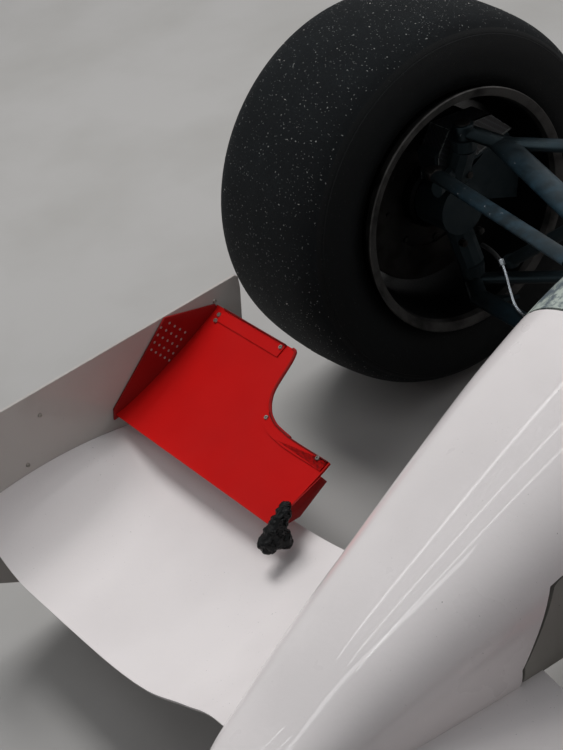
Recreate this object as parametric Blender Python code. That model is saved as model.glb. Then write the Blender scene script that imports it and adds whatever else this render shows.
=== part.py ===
# Open wheel racing car, one named object for each sub-part.
# Metres, Z up. The nose points along -Y and the car's left side is +X.
# Stations are measured rearward from the front axle, and shifted as a whole at the end.
import math

import bmesh
import bpy
from mathutils import Matrix, Vector

# Overall layout
WHEELBASE = 2.700
FRONT_HALF_TRACK = 0.705
REAR_HALF_TRACK = 0.690
NOSE_TIP = -0.860
NOSE_JOINT = -0.278
TUB_REAR = 1.700
TAIL_END = WHEELBASE + 0.720
GAP = 0.0003
WELD = 0.00002
FLOOR_BOTTOM = 0.045
FLOOR_THICKNESS = 0.014
TUB_BOTTOM = FLOOR_BOTTOM + FLOOR_THICKNESS + GAP

# Wheels
FRONT_TYRE_RADIUS = 0.277
FRONT_TYRE_WIDTH = 0.244
REAR_TYRE_RADIUS = 0.285
REAR_TYRE_WIDTH = 0.274
RIM_RADIUS = 0.179
BEAD_RADIUS = 0.166
FLANGE_HEIGHT = RIM_RADIUS - BEAD_RADIUS
TYRE_WALL = 0.010
FRONT_RIM_WIDTH = 0.236
REAR_RIM_WIDTH = 0.266
RIM_WALL = 0.005
SPOKES = 6
SPOKE_CHORD = 0.034
SPOKE_THICKNESS = 0.016
SPOKE_DISH = 0.006
SPOKE_INSET = 0.060
SPOKE_DROP = 0.020
SPOKE_TURN = math.radians(4)
WHEEL_SIDES = 28
HUB_RADIUS = 0.045
DISC_RADIUS = 0.128
DISC_THICKNESS = 0.018
DISC_OFFSET = 0.014
# Tyre's sidewall: inset from the half width, height above the bead
TYRE_SIDEWALL = ((0.020, 0.003), (0.008, 0.018), (0.000, 0.058))
# Tyre's shoulder: inset from the half width, depth under the tread
TYRE_SHOULDER = ((0.008, 0.024), (0.030, 0.007), (0.066, 0.000))
LINER_SHOULDER = 0.055
LINER_CROWN = 0.004
LINER_HEIGHT = 0.062
BEAD_SEAT = 0.036
BEAD_LIFT = 0.003
# Rim's section, outside then bore: side, inset from the half width, height above the bead
RIM_SECTION = (
    (1, 0.000, FLANGE_HEIGHT), (1, 0.006, FLANGE_HEIGHT + 0.001), (1, 0.010, 0.002),
    (1, BEAD_SEAT, 0.000), (1, 0.056, -0.016), (-1, 0.050, -0.012), (-1, BEAD_SEAT, 0.000),
    (-1, 0.010, 0.002), (-1, 0.006, FLANGE_HEIGHT + 0.001), (-1, 0.000, FLANGE_HEIGHT),
    (-1, 0.002, -0.004), (-1, 0.050, -0.018 - RIM_WALL), (1, 0.056, -0.021 - RIM_WALL),
    (1, 0.004, -0.004),
)
# Wheel hub: distance outward from the spokes' face, share of the hub's radius
HUB_NOSE = ((0.012, 1.0), (0.030, 0.6))

# Nose and tub sections: station, half width, bottom, widest height, top
HULL_SECTIONS = (
    (NOSE_TIP, 0.022, 0.226, 0.240, 0.254),
    (-0.832, 0.050, 0.208, 0.240, 0.270),
    (-0.760, 0.076, 0.203, 0.252, 0.298),
    (-0.680, 0.094, 0.202, 0.266, 0.337),
    (-0.580, 0.113, 0.202, 0.287, 0.377),
    (-0.470, 0.134, 0.203, 0.312, 0.418),
    (-0.350, 0.157, 0.200, 0.336, 0.458),
    (-0.220, 0.174, 0.192, 0.352, 0.494),
    (0.000, 0.190, 0.150, 0.350, 0.532),
    (0.350, 0.216, 0.090, 0.330, 0.568),
    (0.700, 0.252, TUB_BOTTOM, 0.310, 0.604),
    (1.000, 0.290, TUB_BOTTOM, 0.300, 0.588),
    (1.300, 0.318, TUB_BOTTOM, 0.300, 0.604),
    (1.560, 0.322, TUB_BOTTOM, 0.300, 0.660),
    (TUB_REAR, 0.318, TUB_BOTTOM, 0.300, 0.660),
)
SECTION_POWER = 2.5
SECTION_SIDES = 24
HULL_RINGS = 14
TUB_WALL = 0.022

# Cockpit
COCKPIT_FRONT = 0.800
COCKPIT_REAR = 1.500
COCKPIT_HALF_WIDTH = 0.235
COCKPIT_CUT_HEIGHTS = (0.450, 0.800)
PEDAL_BULKHEAD = -0.060
SEAT_BULKHEAD = 1.555
SEAT_THICKNESS = 0.020
# Seat shell: station, height, half width
SEAT_SECTIONS = (
    (0.980, 0.105, 0.170),
    (1.150, 0.078, 0.190),
    (1.300, 0.150, 0.200),
    (1.390, 0.300, 0.190),
    (1.440, 0.470, 0.170),
)
# Seat's cross section: share of the half width, lift
SEAT_PROFILE = ((-1.00, 0.090), (-0.85, 0.020), (0.00, 0.000), (0.85, 0.020), (1.00, 0.090))
SEAT_BACK_TAPER = 0.93
SEAT_BACK_LEAN = 0.006
# Headrest: place across, distance ahead of the engine cover
HEADREST_OUTLINE = ((-0.120, 0), (0.120, 0), (0.095, 0.065), (-0.095, 0.065))
HEADREST_HEIGHTS = (0.600, 0.760)
STEERING_WHEEL_STATION = 0.900
STEERING_WHEEL_HEIGHT = 0.500
STEERING_WHEEL_RADIUS = 0.130
GRIP_RADIUS = 0.013
WHEEL_SQUASH_BELOW = 0.72
WHEEL_SQUASH_ABOVE = 0.80
WHEEL_PLATE = ((-0.118, -0.024), (0.118, -0.024), (0.118, 0.018), (-0.118, 0.018))
WHEEL_PLATE_DEPTHS = (-0.006, 0.012)
WHEEL_HUB_RADIUS = 0.050
WHEEL_HUB_LENGTH = 0.020
WHEEL_HUB_PLACE = 0.012
COLUMN_RAKE = math.radians(12)
COLUMN_LENGTH = 0.260
COLUMN_WIDTH = 0.028
COLUMN_START = 0.007
COLUMN_BOSS_LENGTH = 0.060
COLUMN_BOSS_WIDTH = 0.040
CUT_MARGIN = 0.010
DASH_THICKNESS = 0.012
LEG_HOLE = (0.125, 0.150, 0.385)

# Front wing
WING_FRONT = -0.786
WING_REAR = -0.520
WING_THICKNESS = 0.020
WING_CUT_DEPTH = 0.100
WING_CUT_REACH = 0.300
ENDPLATE_INNER = 0.660
ENDPLATE_THICKNESS = 0.005
ENDPLATE_TOP = 0.327
ENDPLATE_BOTTOM = 0.062
ENDPLATE_REAR = -0.332
ENDPLATE_FRONT = -0.850
ENDPLATE_OUTLINE = (
    (ENDPLATE_FRONT, 0.160), (ENDPLATE_FRONT + 0.045, ENDPLATE_TOP - 0.027),
    (ENDPLATE_FRONT + 0.085, ENDPLATE_TOP), (ENDPLATE_REAR, ENDPLATE_TOP),
    (ENDPLATE_REAR, 0.110), (ENDPLATE_REAR - 0.050, ENDPLATE_BOTTOM),
    (ENDPLATE_FRONT + 0.118, ENDPLATE_BOTTOM), (ENDPLATE_FRONT, 0.136))
# Main plane's top surface: span place, front height, rear height, bulge
PLANE_SECTIONS = (
    (0.000, 0.246, 0.252, 0.000),
    (0.095, 0.244, 0.250, 0.000),
    (0.170, 0.214, 0.229, -0.004),
    (0.270, 0.168, 0.209, -0.010),
    (0.400, 0.148, 0.203, -0.012),
    (0.560, 0.146, 0.203, -0.008),
    (0.620, 0.160, 0.203, 0.012),
    (0.660, 0.190, 0.203, 0.034),
)

PLANE_PLACES_BETWEEN = (0.130, 0.220, 0.335, 0.590)
FOIL_FULLNESS = 2.6
PLANE_TAIL = 0.0026

# Front flap, its fence and the fence's grid of holes
FLAP_FRONT = -0.561
FLAP_FRONT_HEIGHT = 0.235
FLAP_CHORD = 0.188
FLAP_RISE = 0.066
FLAP_THICKNESS = 0.007
FLAP_INNER = 0.311
FLAP_STEP_INNER = 0.393
FLAP_STEP_OUTER = 0.495
FLAP_INNER_SHARE = 0.54
FLAP_LEAN = 0.3
FENCE_THICKNESS = 0.003
# Fences: distance behind the flap's front edge, height above it
OUTER_FENCE = ((-0.004, -0.007), (0.000, 0.008), (0.108, 0.092),
               (FLAP_CHORD - 0.004, FLAP_RISE + 0.004), (FLAP_CHORD, FLAP_RISE - 0.020),
               (0.090, 0.000))
INNER_FENCE = ((0.004, -0.021), (0.004, -0.001), (0.090, 0.021), (0.100, 0.005), (0.045, -0.021))
FIRST_HOLE = (0.068, 0.070)
HOLE_ROW_LEAN = 0.30
HOLE_ROW_SHARE = 0.85
HOLE_COLUMN_RISE = 0.15
HOLE_ROWS = 5
HOLE_COLUMNS = 5
HOLE_PITCH = 0.0105
HOLE_RADIUS = 0.0027

# Front suspension, measured from the car's centre line and the front axle
FRONT_UPPER_BALL = (FRONT_HALF_TRACK - 0.117, 0.020, 0.392)
FRONT_LOWER_BALL = (FRONT_HALF_TRACK - 0.099, 0.004, 0.152)
FRONT_UPPER_INNER = ((0.100, -0.110, 0.388), (0.100, 0.230, 0.392))
FRONT_LOWER_INNER = ((0.100, -0.100, 0.215), (0.100, 0.330, 0.175))
TRACK_ROD_OUTER = (FRONT_HALF_TRACK - 0.130, -0.050, 0.364)
TRACK_ROD_INNER = (0.100, -0.150, 0.398)
TRACK_ROD_CHORD = 0.026
TRACK_ROD_THICKNESS = 0.013
PUSHROD_WIDTH = 0.018
ARM_CHORD = 0.024
ARM_THICKNESS = 0.016
ROD_CLEARANCE = 0.026
FRONT_PUSHROD = ((FRONT_HALF_TRACK - 0.160, 0.030, 0.190), (0.120, 0.120, 0.500))
STEERING_ARM = (FRONT_HALF_TRACK - 0.098, 0.010, 0.330)
DUCT_INSET = (0.096, 0.060)
DUCT_OUTLINE = ((-0.020, 0.318), (-0.020, 0.362), (0.030, 0.388), (0.068, 0.380),
                (0.082, 0.330))
# Hose points: inset from the half track, station, height
HOSE_ROUTE = ((0.133, 0.006, 0.222), (0.145, 0.012, 0.216), (0.153, 0.010, 0.200),
              (0.165, -0.004, 0.178))
HOSE_RADIUS = 0.0022
HOSE_SHARES = (0.18, 0.30, 0.50, 0.72, 0.86)
HOSE_STEPS = 4

# Rear suspension
REAR_UPPER_BALL = (REAR_HALF_TRACK - 0.130, WHEELBASE + 0.010, 0.405)
REAR_LOWER_BALL = (REAR_HALF_TRACK - 0.115, WHEELBASE - 0.005, 0.155)
REAR_UPPER_INNER = ((0.060, WHEELBASE - 0.270, 0.370), (0.060, WHEELBASE + 0.100, 0.370))
REAR_LOWER_INNER = ((0.060, WHEELBASE - 0.300, 0.170), (0.060, WHEELBASE + 0.150, 0.170))
REAR_PUSHROD = ((REAR_HALF_TRACK - 0.170, WHEELBASE - 0.030, 0.200),
                (0.060, WHEELBASE - 0.140, 0.350))
DRIVE_JOINT = 0.200
DRIVE_JOINT_WIDTH = 0.042
DRIVE_JOINT_LENGTH = 0.060
SHAFT_WIDTH = 0.030
SHAFT_INNER = 0.050
LEG_CHORD = 0.034
LEG_THICKNESS = 0.015
BALL_RADIUS = 0.015
BALL_HEIGHT = 0.022
BALL_GAP = 0.0005
SEAT_HEIGHT = 0.016
BOSS_RADIUS = 0.038
BOSS_LENGTH = 0.060
HUB_FACE = 0.052
CALIPER_CLEARANCE = 0.005
CALIPER_RADII = (0.088, 0.138)
CALIPER_INSET = (0.074, 0.008)
CALIPER_ANGLES = (155, 168, 180, 192, 205)
BRACKET_RADII = (0.026, 0.100)
BRACKET_CLEARANCE = 0.004
SOCKET_WALL = 0.003
POST_CHORD = 0.040
POST_THICKNESS = 0.032

# Sidepods: share of their length, centre, reach, widest height, top
POD_FRONT = 1.020
POD_REAR = WHEELBASE - 0.450
POD_SECTIONS = (
    (0.000, 0.400, 0.205, 0.300, 0.435),
    (0.081, 0.405, 0.210, 0.300, 0.448),
    (0.390, 0.405, 0.212, 0.300, 0.440),
    (0.715, 0.360, 0.190, 0.280, 0.400),
    (1.000, 0.285, 0.130, 0.230, 0.320),
)
POD_POWER = 4.0
INTAKE_SHARE = 0.244
INTAKE_DEPTH = INTAKE_SHARE * (POD_REAR - POD_FRONT)
INTAKE_LEAD = 0.020
RADIATOR_THICKNESS = 0.034
INTAKE_WALL = 0.014
INTAKE_INNER = 0.345
ENGINE_BAY_HALF_WIDTH = 0.215
ENGINE_BAY_TOP = 0.700
ENGINE_BAY_LEAD = 0.100

# Engine cover: share of its length, half width, bottom, widest height, top
COVER_FRONT = TUB_REAR - 0.100
COVER_REAR = WHEELBASE - 0.100
COVER_SECTIONS = (
    (0.000, 0.130, 0.560, 0.700, 0.930),
    (0.120, 0.150, 0.440, 0.650, 0.915),
    (0.350, 0.165, 0.400, 0.560, 0.800),
    (0.650, 0.145, 0.370, 0.480, 0.640),
    (1.000, 0.095, 0.350, 0.420, 0.500),
)
COVER_HOLLOW = (0.300, 1.040)
SCOOP = (0.075, 0.760, 0.830, 0.905)

COVER_CUT_DROP = 0.200

# Engine and gearbox: station, half width, bottom, widest height, top
ENGINE_WIDEST = 0.200
ENGINE_OUTLINE = ((-0.190, 0.070), (0.190, 0.070), (0.205, 0.200), (0.120, 0.350),
                  (-0.120, 0.350), (-0.205, 0.200))
GEARBOX_FRONT = WHEELBASE - 0.448
GEARBOX_SECTIONS = (
    (GEARBOX_FRONT, 0.200, 0.075, 0.220, 0.360),
    (WHEELBASE - 0.300, 0.150, 0.085, 0.240, 0.360),
    (WHEELBASE - 0.080, 0.115, 0.100, 0.260, 0.370),
    (WHEELBASE + 0.160, 0.105, 0.120, 0.260, 0.370),
    (WHEELBASE + 0.420, 0.070, 0.200, 0.270, 0.340),
)
BOX_POWER = 3.0
COVER_WALL = 0.006
SCOOP_DEPTH = 0.120

EXHAUST_PATH = ((0.130, WHEELBASE - 0.540, 0.280), (0.172, WHEELBASE - 0.430, 0.385),
                (0.175, WHEELBASE - 0.280, 0.435), (0.165, WHEELBASE + 0.160, 0.445))
EXHAUST_WIDTH = 0.044

# Floor: half width and station of its edge, then the diffuser's station and height
FLOOR_EDGE = ((0.200, 0.560), (0.560, 0.980), (0.610, 1.060), (0.610, WHEELBASE - 0.520),
              (0.500, WHEELBASE - 0.360), (0.360, WHEELBASE - 0.280),
              (0.360, WHEELBASE - 0.140))
DIFFUSER_RISE = ((WHEELBASE - 0.160, FLOOR_BOTTOM), (WHEELBASE, 0.062),
                 (WHEELBASE + 0.160, 0.098), (WHEELBASE + 0.340, 0.150))
DIFFUSER_HALF_WIDTH = 0.360
STRAKE_PLACES = (-0.354, -0.120, 0.120, 0.354)
STRAKE_THICKNESS = 0.006
STRAKE_OUTLINE = ((WHEELBASE - 0.155, 0.048), (WHEELBASE + 0.336, 0.060),
                  (WHEELBASE + 0.336, 0.156), (WHEELBASE + 0.160, 0.104),
                  (WHEELBASE, 0.066), (WHEELBASE - 0.155, 0.054))

# Rear wing
REAR_WING_HALF_SPAN = 0.475
REAR_WING_FRONT = WHEELBASE + 0.220
REAR_WING_HEIGHT = 0.770
REAR_PLANE_CHORD = 0.250
REAR_FLAP_CHORD = 0.165
REAR_PLATE_THICKNESS = 0.006
REAR_PLATE_TOP = 0.910
REAR_PLATE_BOTTOM = 0.540
REAR_PLATE_OUTLINE = (
    (REAR_WING_FRONT - 0.030, REAR_PLATE_TOP - 0.210),
    (REAR_WING_FRONT, REAR_PLATE_TOP - 0.030), (REAR_WING_FRONT + 0.040, REAR_PLATE_TOP),
    (TAIL_END, REAR_PLATE_TOP), (TAIL_END, REAR_PLATE_BOTTOM + 0.100),
    (TAIL_END - 0.140, REAR_PLATE_BOTTOM), (REAR_WING_FRONT + 0.020, REAR_PLATE_BOTTOM))
# Rear wing blades: front, height, chord, tilt, thickness
REAR_BLADES = (
    (REAR_WING_FRONT, REAR_WING_HEIGHT, REAR_PLANE_CHORD, 0.12, 0.026),
    (REAR_WING_FRONT + REAR_PLANE_CHORD - 0.010, REAR_WING_HEIGHT + 0.050, REAR_FLAP_CHORD,
     0.45, 0.014),
    (REAR_WING_FRONT + 0.040, REAR_WING_HEIGHT - 0.210, 0.180, 0.10, 0.018),
)
BLADE_TAIL = 0.002
RIB_PLACE = 0.100
RIB_THICKNESS = 0.008
RIB_OUTLINE = ((0.050, -0.225), (0.200, -0.215), (0.300, 0.070), (0.225, 0.030),
               (0.060, 0.010))
PILLAR_OUTLINE = ((-0.020, 0.300), (0.160, 0.280), (0.180, 0.545), (0.070, 0.545))
PILLAR_THICKNESS = 0.024

# Mirrors
MIRROR_PLACE = (0.420, 0.750, 0.640)
MIRROR_FRONT = (0.066, 0.026)
MIRROR_REAR = (0.078, 0.034)
MIRROR_DEPTH = 0.040
STALK_FOOT = (0.150, 0.760, 0.540)
STALK_INSET = 0.030
STALK_CHORD = 0.024
STALK_THICKNESS = 0.010

ORIGIN_SHIFT = -(NOSE_TIP + TAIL_END) / 2
# A tyre's flat facet lies on the ground
FACET = math.cos(math.pi / WHEEL_SIDES)
FRONT_AXLE_HEIGHT = FRONT_TYRE_RADIUS * FACET
REAR_AXLE_HEIGHT = REAR_TYRE_RADIUS * FACET


def paint(name, colour, roughness, metallic=0.0):
    mat = bpy.data.materials.new(name)
    mat.use_nodes = True
    shader = mat.node_tree.nodes["Principled BSDF"]
    shader.inputs["Base Color"].default_value = (*colour, 1.0)
    shader.inputs["Roughness"].default_value = roughness
    shader.inputs["Metallic"].default_value = metallic
    return mat


def slope(table, row, column):
    """Slope of a column at a row, flat at a peak and never so steep that it overshoots."""
    rises = []
    for low in (row - 1, row):
        if 0 <= low < len(table) - 1:
            run = table[low + 1][0] - table[low][0]
            rises.append((table[low + 1][column] - table[low][column]) / run)
    if rises[0] * rises[-1] <= 0:
        return 0.0
    least = min(rises, key=abs)
    return math.copysign(min(abs(sum(rises) / len(rises)), 3 * abs(least)), least)


def blend(table, place):
    """Smooth row of a table of sections at a place between its rows."""
    index = 0
    while index < len(table) - 2 and place > table[index + 1][0]:
        index += 1
    before, after = table[index], table[index + 1]
    span = after[0] - before[0]
    t = min(max((place - before[0]) / span, 0.0), 1.0)
    result = []
    for column in range(1, len(before)):
        start, end = slope(table, index, column), slope(table, index + 1, column)
        result.append((2 * t ** 3 - 3 * t ** 2 + 1) * before[column]
                      + (t ** 3 - 2 * t ** 2 + t) * start * span
                      + (3 * t ** 2 - 2 * t ** 3) * after[column]
                      + (t ** 3 - t ** 2) * end * span)
    return result


def spread(first, last, count):
    return [first + (last - first) * i / (count - 1) for i in range(count)]


def ring(station, half_width, bottom, widest, top, grow=0.0, power=SECTION_POWER,
         sides=SECTION_SIDES, centre=0.0):
    points = []
    full = math.cos(math.pi / sides) ** (2 / power)
    for i in range(sides):
        angle = 2 * math.pi * (i + 0.5) / sides
        across = math.copysign(abs(math.cos(angle)) ** (2 / power), math.cos(angle)) / full
        upward = math.copysign(abs(math.sin(angle)) ** (2 / power), math.sin(angle)) / full
        reach = top - widest if upward > 0 else widest - bottom
        points.append(Vector((centre + across * (half_width + grow), station,
                              widest + upward * (reach + grow))))
    return points


def loft(rings, curved=True):
    """Skin through rings of points; a curved one is split the same way for part and cutter."""
    bm = bmesh.new()
    loops = [[bm.verts.new(point) for point in points] for points in rings]
    for near, far in zip(loops, loops[1:]):
        for i in range(len(near)):
            j = (i + 1) % len(near)
            if curved:
                bm.faces.new((near[i], near[j], far[j]))
                bm.faces.new((near[i], far[j], far[i]))
            else:
                bm.faces.new((near[i], near[j], far[j], far[i]))
    bm.faces.new(loops[0])
    bm.faces.new(loops[-1])
    bmesh.ops.recalc_face_normals(bm, faces=bm.faces)
    return bm


def prism(outline, axis, low, high):
    """Flat outline pushed along an axis: 0 for X, 1 for Y, 2 for Z."""
    rings = []
    for level in (low, high):
        points = []
        for first, second in outline:
            point = [first, second]
            point.insert(axis, level)
            points.append(Vector(point))
        rings.append(points)
    return loft(rings, False)


def bar(start, end, chord, thickness, sides=12, along=Vector((0, 1, 0))):
    """Straight tube with an oval section, whose long side lies near the given direction."""
    start, end = Vector(start), Vector(end)
    axis = (end - start).normalized()
    wide = (along - axis * along.dot(axis)).normalized()
    thin = axis.cross(wide)
    rings = []
    for centre in (start, end):
        rings.append([centre + wide * chord / 2 * math.cos(2 * math.pi * i / sides)
                      + thin * thickness / 2 * math.sin(2 * math.pi * i / sides)
                      for i in range(sides)])
    return loft(rings, False)


def drum(centre, axis, radius, length, sides=16):
    """Round bar centred on a point."""
    centre, axis = Vector(centre), Vector(axis).normalized()
    half = axis * length / 2
    side = Vector((0, 1, 0)) if abs(axis.y) < 0.9 else Vector((1, 0, 0))
    return bar(centre - half, centre + half, 2 * radius, 2 * radius, sides, side)


def turned(profile, sides=WHEEL_SIDES):
    """Closed profile of (along X, radius) turned round the X axis."""
    bm = bmesh.new()
    loops = []
    for i in range(sides):
        angle = 2 * math.pi * (i + 0.5) / sides
        loops.append([bm.verts.new((x, r * math.cos(angle), r * math.sin(angle)))
                      for x, r in profile])
    for i in range(sides):
        near, far = loops[i], loops[(i + 1) % sides]
        for j in range(len(profile)):
            k = (j + 1) % len(profile)
            bm.faces.new((near[j], near[k], far[k], far[j]))
    bmesh.ops.recalc_face_normals(bm, faces=bm.faces)
    return bm


def turned_solid(profile, sides=WHEEL_SIDES):
    """Profile of (along X, radius) turned round the X axis, closed by flat ends."""
    rings = []
    for x, r in profile:
        rings.append([Vector((x, r * math.cos(2 * math.pi * i / sides),
                              r * math.sin(2 * math.pi * i / sides))) for i in range(sides)])
    return loft(rings, False)


def add(name, bm, mat=None):
    mesh = bpy.data.meshes.new(name)
    bm.to_mesh(mesh)
    bm.free()
    obj = bpy.data.objects.new(name, mesh)
    bpy.context.collection.objects.link(obj)
    if mat:
        mesh.materials.append(mat)
    return obj


def shape(obj, operation, *pieces):
    """Unite pieces with an object, or cut them out of it, and use them up."""
    for bm in pieces:
        tool = add("tool", bm)
        step = obj.modifiers.new("step", "BOOLEAN")
        step.operation = operation
        step.solver = "EXACT"
        step.object = tool
        graph = bpy.context.evaluated_depsgraph_get()
        mesh = bpy.data.meshes.new_from_object(obj.evaluated_get(graph))
        obj.modifiers.clear()
        materials = list(obj.data.materials)
        clean(mesh)
        obj.data = mesh
        mesh.materials.clear()
        for mat in materials:
            mesh.materials.append(mat)
        bpy.data.objects.remove(tool)


def clean(mesh):
    """Weld the slivers that a cut can leave."""
    bm = bmesh.new()
    bm.from_mesh(mesh)
    bmesh.ops.remove_doubles(bm, verts=bm.verts, dist=WELD)
    bmesh.ops.dissolve_degenerate(bm, edges=bm.edges, dist=WELD)
    bm.to_mesh(mesh)
    bm.free()


def finish(obj, parent, angle=math.radians(32)):
    obj.data.name = obj.name
    obj.data.shade_smooth()
    obj.data.set_sharp_from_angle(angle=angle)
    obj.parent = parent
    return obj


def empty(name, location, parent=None):
    holder = bpy.data.objects.new(name, None)
    holder.location = location
    holder.parent = parent
    bpy.context.collection.objects.link(holder)
    return holder


def mirrored(point, side):
    return Vector((point[0] * side, point[1], point[2]))


def swept_rings(table, count, grow=0.0, **options):
    stations = spread(table[0][0], table[-1][0], count)
    return [ring(station, *blend(table, station), grow=grow, **options)
            for station in stations]


def hull_rings(front, rear, grow=0.0):
    return [ring(station, *blend(HULL_SECTIONS, station), grow=grow)
            for station in spread(front, rear, HULL_RINGS)]


def tub_outer(grow=0.0):
    return loft(hull_rings(NOSE_JOINT, TUB_REAR, grow))


def plane_ring(x, grow=0.0, deep=0.0):
    """Main plane's section at a span place, from the nose edge round to it again."""
    front, rear, bulge = blend(PLANE_SECTIONS, abs(x))
    upper, lower = [], []
    steps = 7
    for i in range(steps + 1):
        share = 0.5 - 0.5 * math.cos(math.pi * i / steps)
        station = WING_FRONT + (WING_REAR - WING_FRONT) * share
        height = front + (rear - front) * share + bulge * 4 * share * (1 - share)
        body = WING_THICKNESS * FOIL_FULLNESS * math.sqrt(share) * (1 - share) + PLANE_TAIL
        upper.append(Vector((x, station, height + grow)))
        lower.append(Vector((x, station, height - body - grow - deep)))
    for edge, sign in ((0, -1), (-1, 1)):
        upper[edge].y += sign * grow
        lower[edge].y += sign * grow
    return upper + lower[::-1]


def main_plane(grow=0.0, deep=0.0, reach=None):
    end = reach or ENDPLATE_INNER - GAP
    places = sorted([abs(row[0]) for row in PLANE_SECTIONS[:-1]] + list(PLANE_PLACES_BETWEEN))
    places = [place for place in places if place < end] + [end]
    places = [-place for place in places[:0:-1]] + places
    return loft([plane_ring(place, grow, deep) for place in places])


def make_nose(root, mats):
    nose = add("nose_cone", loft(hull_rings(NOSE_TIP, NOSE_JOINT - GAP)), mats["white"])
    shape(nose, "DIFFERENCE", main_plane(GAP, WING_CUT_DEPTH, WING_CUT_REACH))
    finish(nose, root)


def make_tub(root, mats):
    tub = add("monocoque", tub_outer(), mats["white"])
    shape(tub, "DIFFERENCE", tub_cavity(), loft(opening_rings(), False))
    finish(tub, root)


def tub_cavity(grow=0.0):
    """Space inside the tub, from the pedals to the seat back."""
    rings = []
    for station in spread(PEDAL_BULKHEAD, SEAT_BULKHEAD, 10):
        width, bottom, widest, top = blend(HULL_SECTIONS, station)
        rings.append(ring(station, width - TUB_WALL, bottom + TUB_WALL, widest, top - TUB_WALL,
                          grow, sides=18))
    return loft(rings)


def opening_rings():
    """Rounded prism through the tub's top skin, for the driver."""
    rings = []
    middle = (COCKPIT_FRONT + COCKPIT_REAR) / 2
    half = (COCKPIT_REAR - COCKPIT_FRONT) / 2
    for height in COCKPIT_CUT_HEIGHTS:
        points = []
        for i in range(24):
            angle = 2 * math.pi * i / 24
            across = math.copysign(abs(math.cos(angle)) ** 0.6, math.cos(angle))
            along = math.copysign(abs(math.sin(angle)) ** 0.7, math.sin(angle))
            points.append(Vector((COCKPIT_HALF_WIDTH * across, middle + half * along, height)))
        rings.append(points)
    return rings


def make_front_wing(root, mats):
    plane = add("front_wing_main_plane", main_plane(), mats["white"])
    finish(plane, root)
    for side, word in ((1, "left"), (-1, "right")):
        inner, outer = ENDPLATE_INNER * side, (ENDPLATE_INNER + ENDPLATE_THICKNESS) * side
        plate = add("front_endplate_" + word, prism(ENDPLATE_OUTLINE, 0, inner, outer),
                    mats["white"])
        finish(plate, root)
        finish(make_flap(side, word, mats["red"]), root)


def flap_share(x):
    """Part of the flap's full chord at a span place: a short inner and a long outer part."""
    t = min(max((abs(x) - FLAP_STEP_INNER) / (FLAP_STEP_OUTER - FLAP_STEP_INNER), 0.0), 1.0)
    return FLAP_INNER_SHARE + (1 - FLAP_INNER_SHARE) * t * t * (3 - 2 * t)


def flap_height(share):
    return FLAP_FRONT_HEIGHT + FLAP_RISE * share ** 1.3


def flap_ring(x):
    share = flap_share(x)
    upper, lower = [], []
    steps = 6
    for i in range(steps + 1):
        part = (i / steps) ** 1.3 * share
        body = FLAP_THICKNESS * min(1.0, 0.45 + 5 * part) * (1 - 0.55 * part / share)
        station = FLAP_FRONT + FLAP_CHORD * part
        upper.append(Vector((x, station, flap_height(part))))
        lower.append(Vector((x, station + FLAP_LEAN * body, flap_height(part) - body)))
    return upper + lower[::-1]


def make_flap(side, word, mat):
    end = ENDPLATE_INNER - GAP
    places = ([FLAP_INNER, (FLAP_INNER + FLAP_STEP_INNER) / 2]
              + spread(FLAP_STEP_INNER, FLAP_STEP_OUTER, 7) + [(FLAP_STEP_OUTER + end) / 2, end])
    flap = add("front_flap_" + word, loft([flap_ring(place * side) for place in places]), mat)
    for outline, inner, outer in ((OUTER_FENCE, end - FENCE_THICKNESS, end),
                                  (INNER_FENCE, FLAP_INNER, FLAP_INNER + FENCE_THICKNESS)):
        line = [(FLAP_FRONT + y, FLAP_FRONT_HEIGHT + z) for y, z in outline]
        shape(flap, "UNION", prism(line, 0, inner * side, outer * side))
    shape(flap, "DIFFERENCE", *fence_holes(side, end))
    return flap


def fence_holes(side, end):
    holes = []
    for row in range(HOLE_ROWS):
        for column in range(HOLE_COLUMNS):
            station = FLAP_FRONT + FIRST_HOLE[0] + HOLE_PITCH * (column - row * HOLE_ROW_LEAN)
            height = (FLAP_FRONT_HEIGHT + FIRST_HOLE[1]
                      + HOLE_PITCH * ((column - 2) * HOLE_COLUMN_RISE - row * HOLE_ROW_SHARE))
            if column == 0 and row == 0:
                continue
            holes.append(drum((end * side, station, height), (1, 0, 0), HOLE_RADIUS,
                              FENCE_THICKNESS * 4, 6))
    return holes


def tyre_profile(radius, width):
    """Slick tyre's section with its air space, from bead to bead."""
    half = width / 2
    outside = [(half - inset, BEAD_RADIUS + height) for inset, height in TYRE_SIDEWALL]
    outside += [(half - inset, radius - depth) for inset, depth in TYRE_SHOULDER]
    inside = [(half - LINER_SHOULDER, radius - TYRE_WALL - LINER_CROWN),
              (half - TYRE_WALL - LINER_CROWN, BEAD_RADIUS + LINER_HEIGHT),
              (half - BEAD_SEAT, BEAD_RADIUS + BEAD_LIFT)]
    right = [(-x, r) for x, r in outside[::-1]]
    inner_left = [(-x, r) for x, r in inside]
    return outside + right + inner_left[::-1] + inside


def rim_profile(width):
    return [(side * (width / 2 - inset), BEAD_RADIUS + height)
            for side, inset, height in RIM_SECTION]


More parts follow.
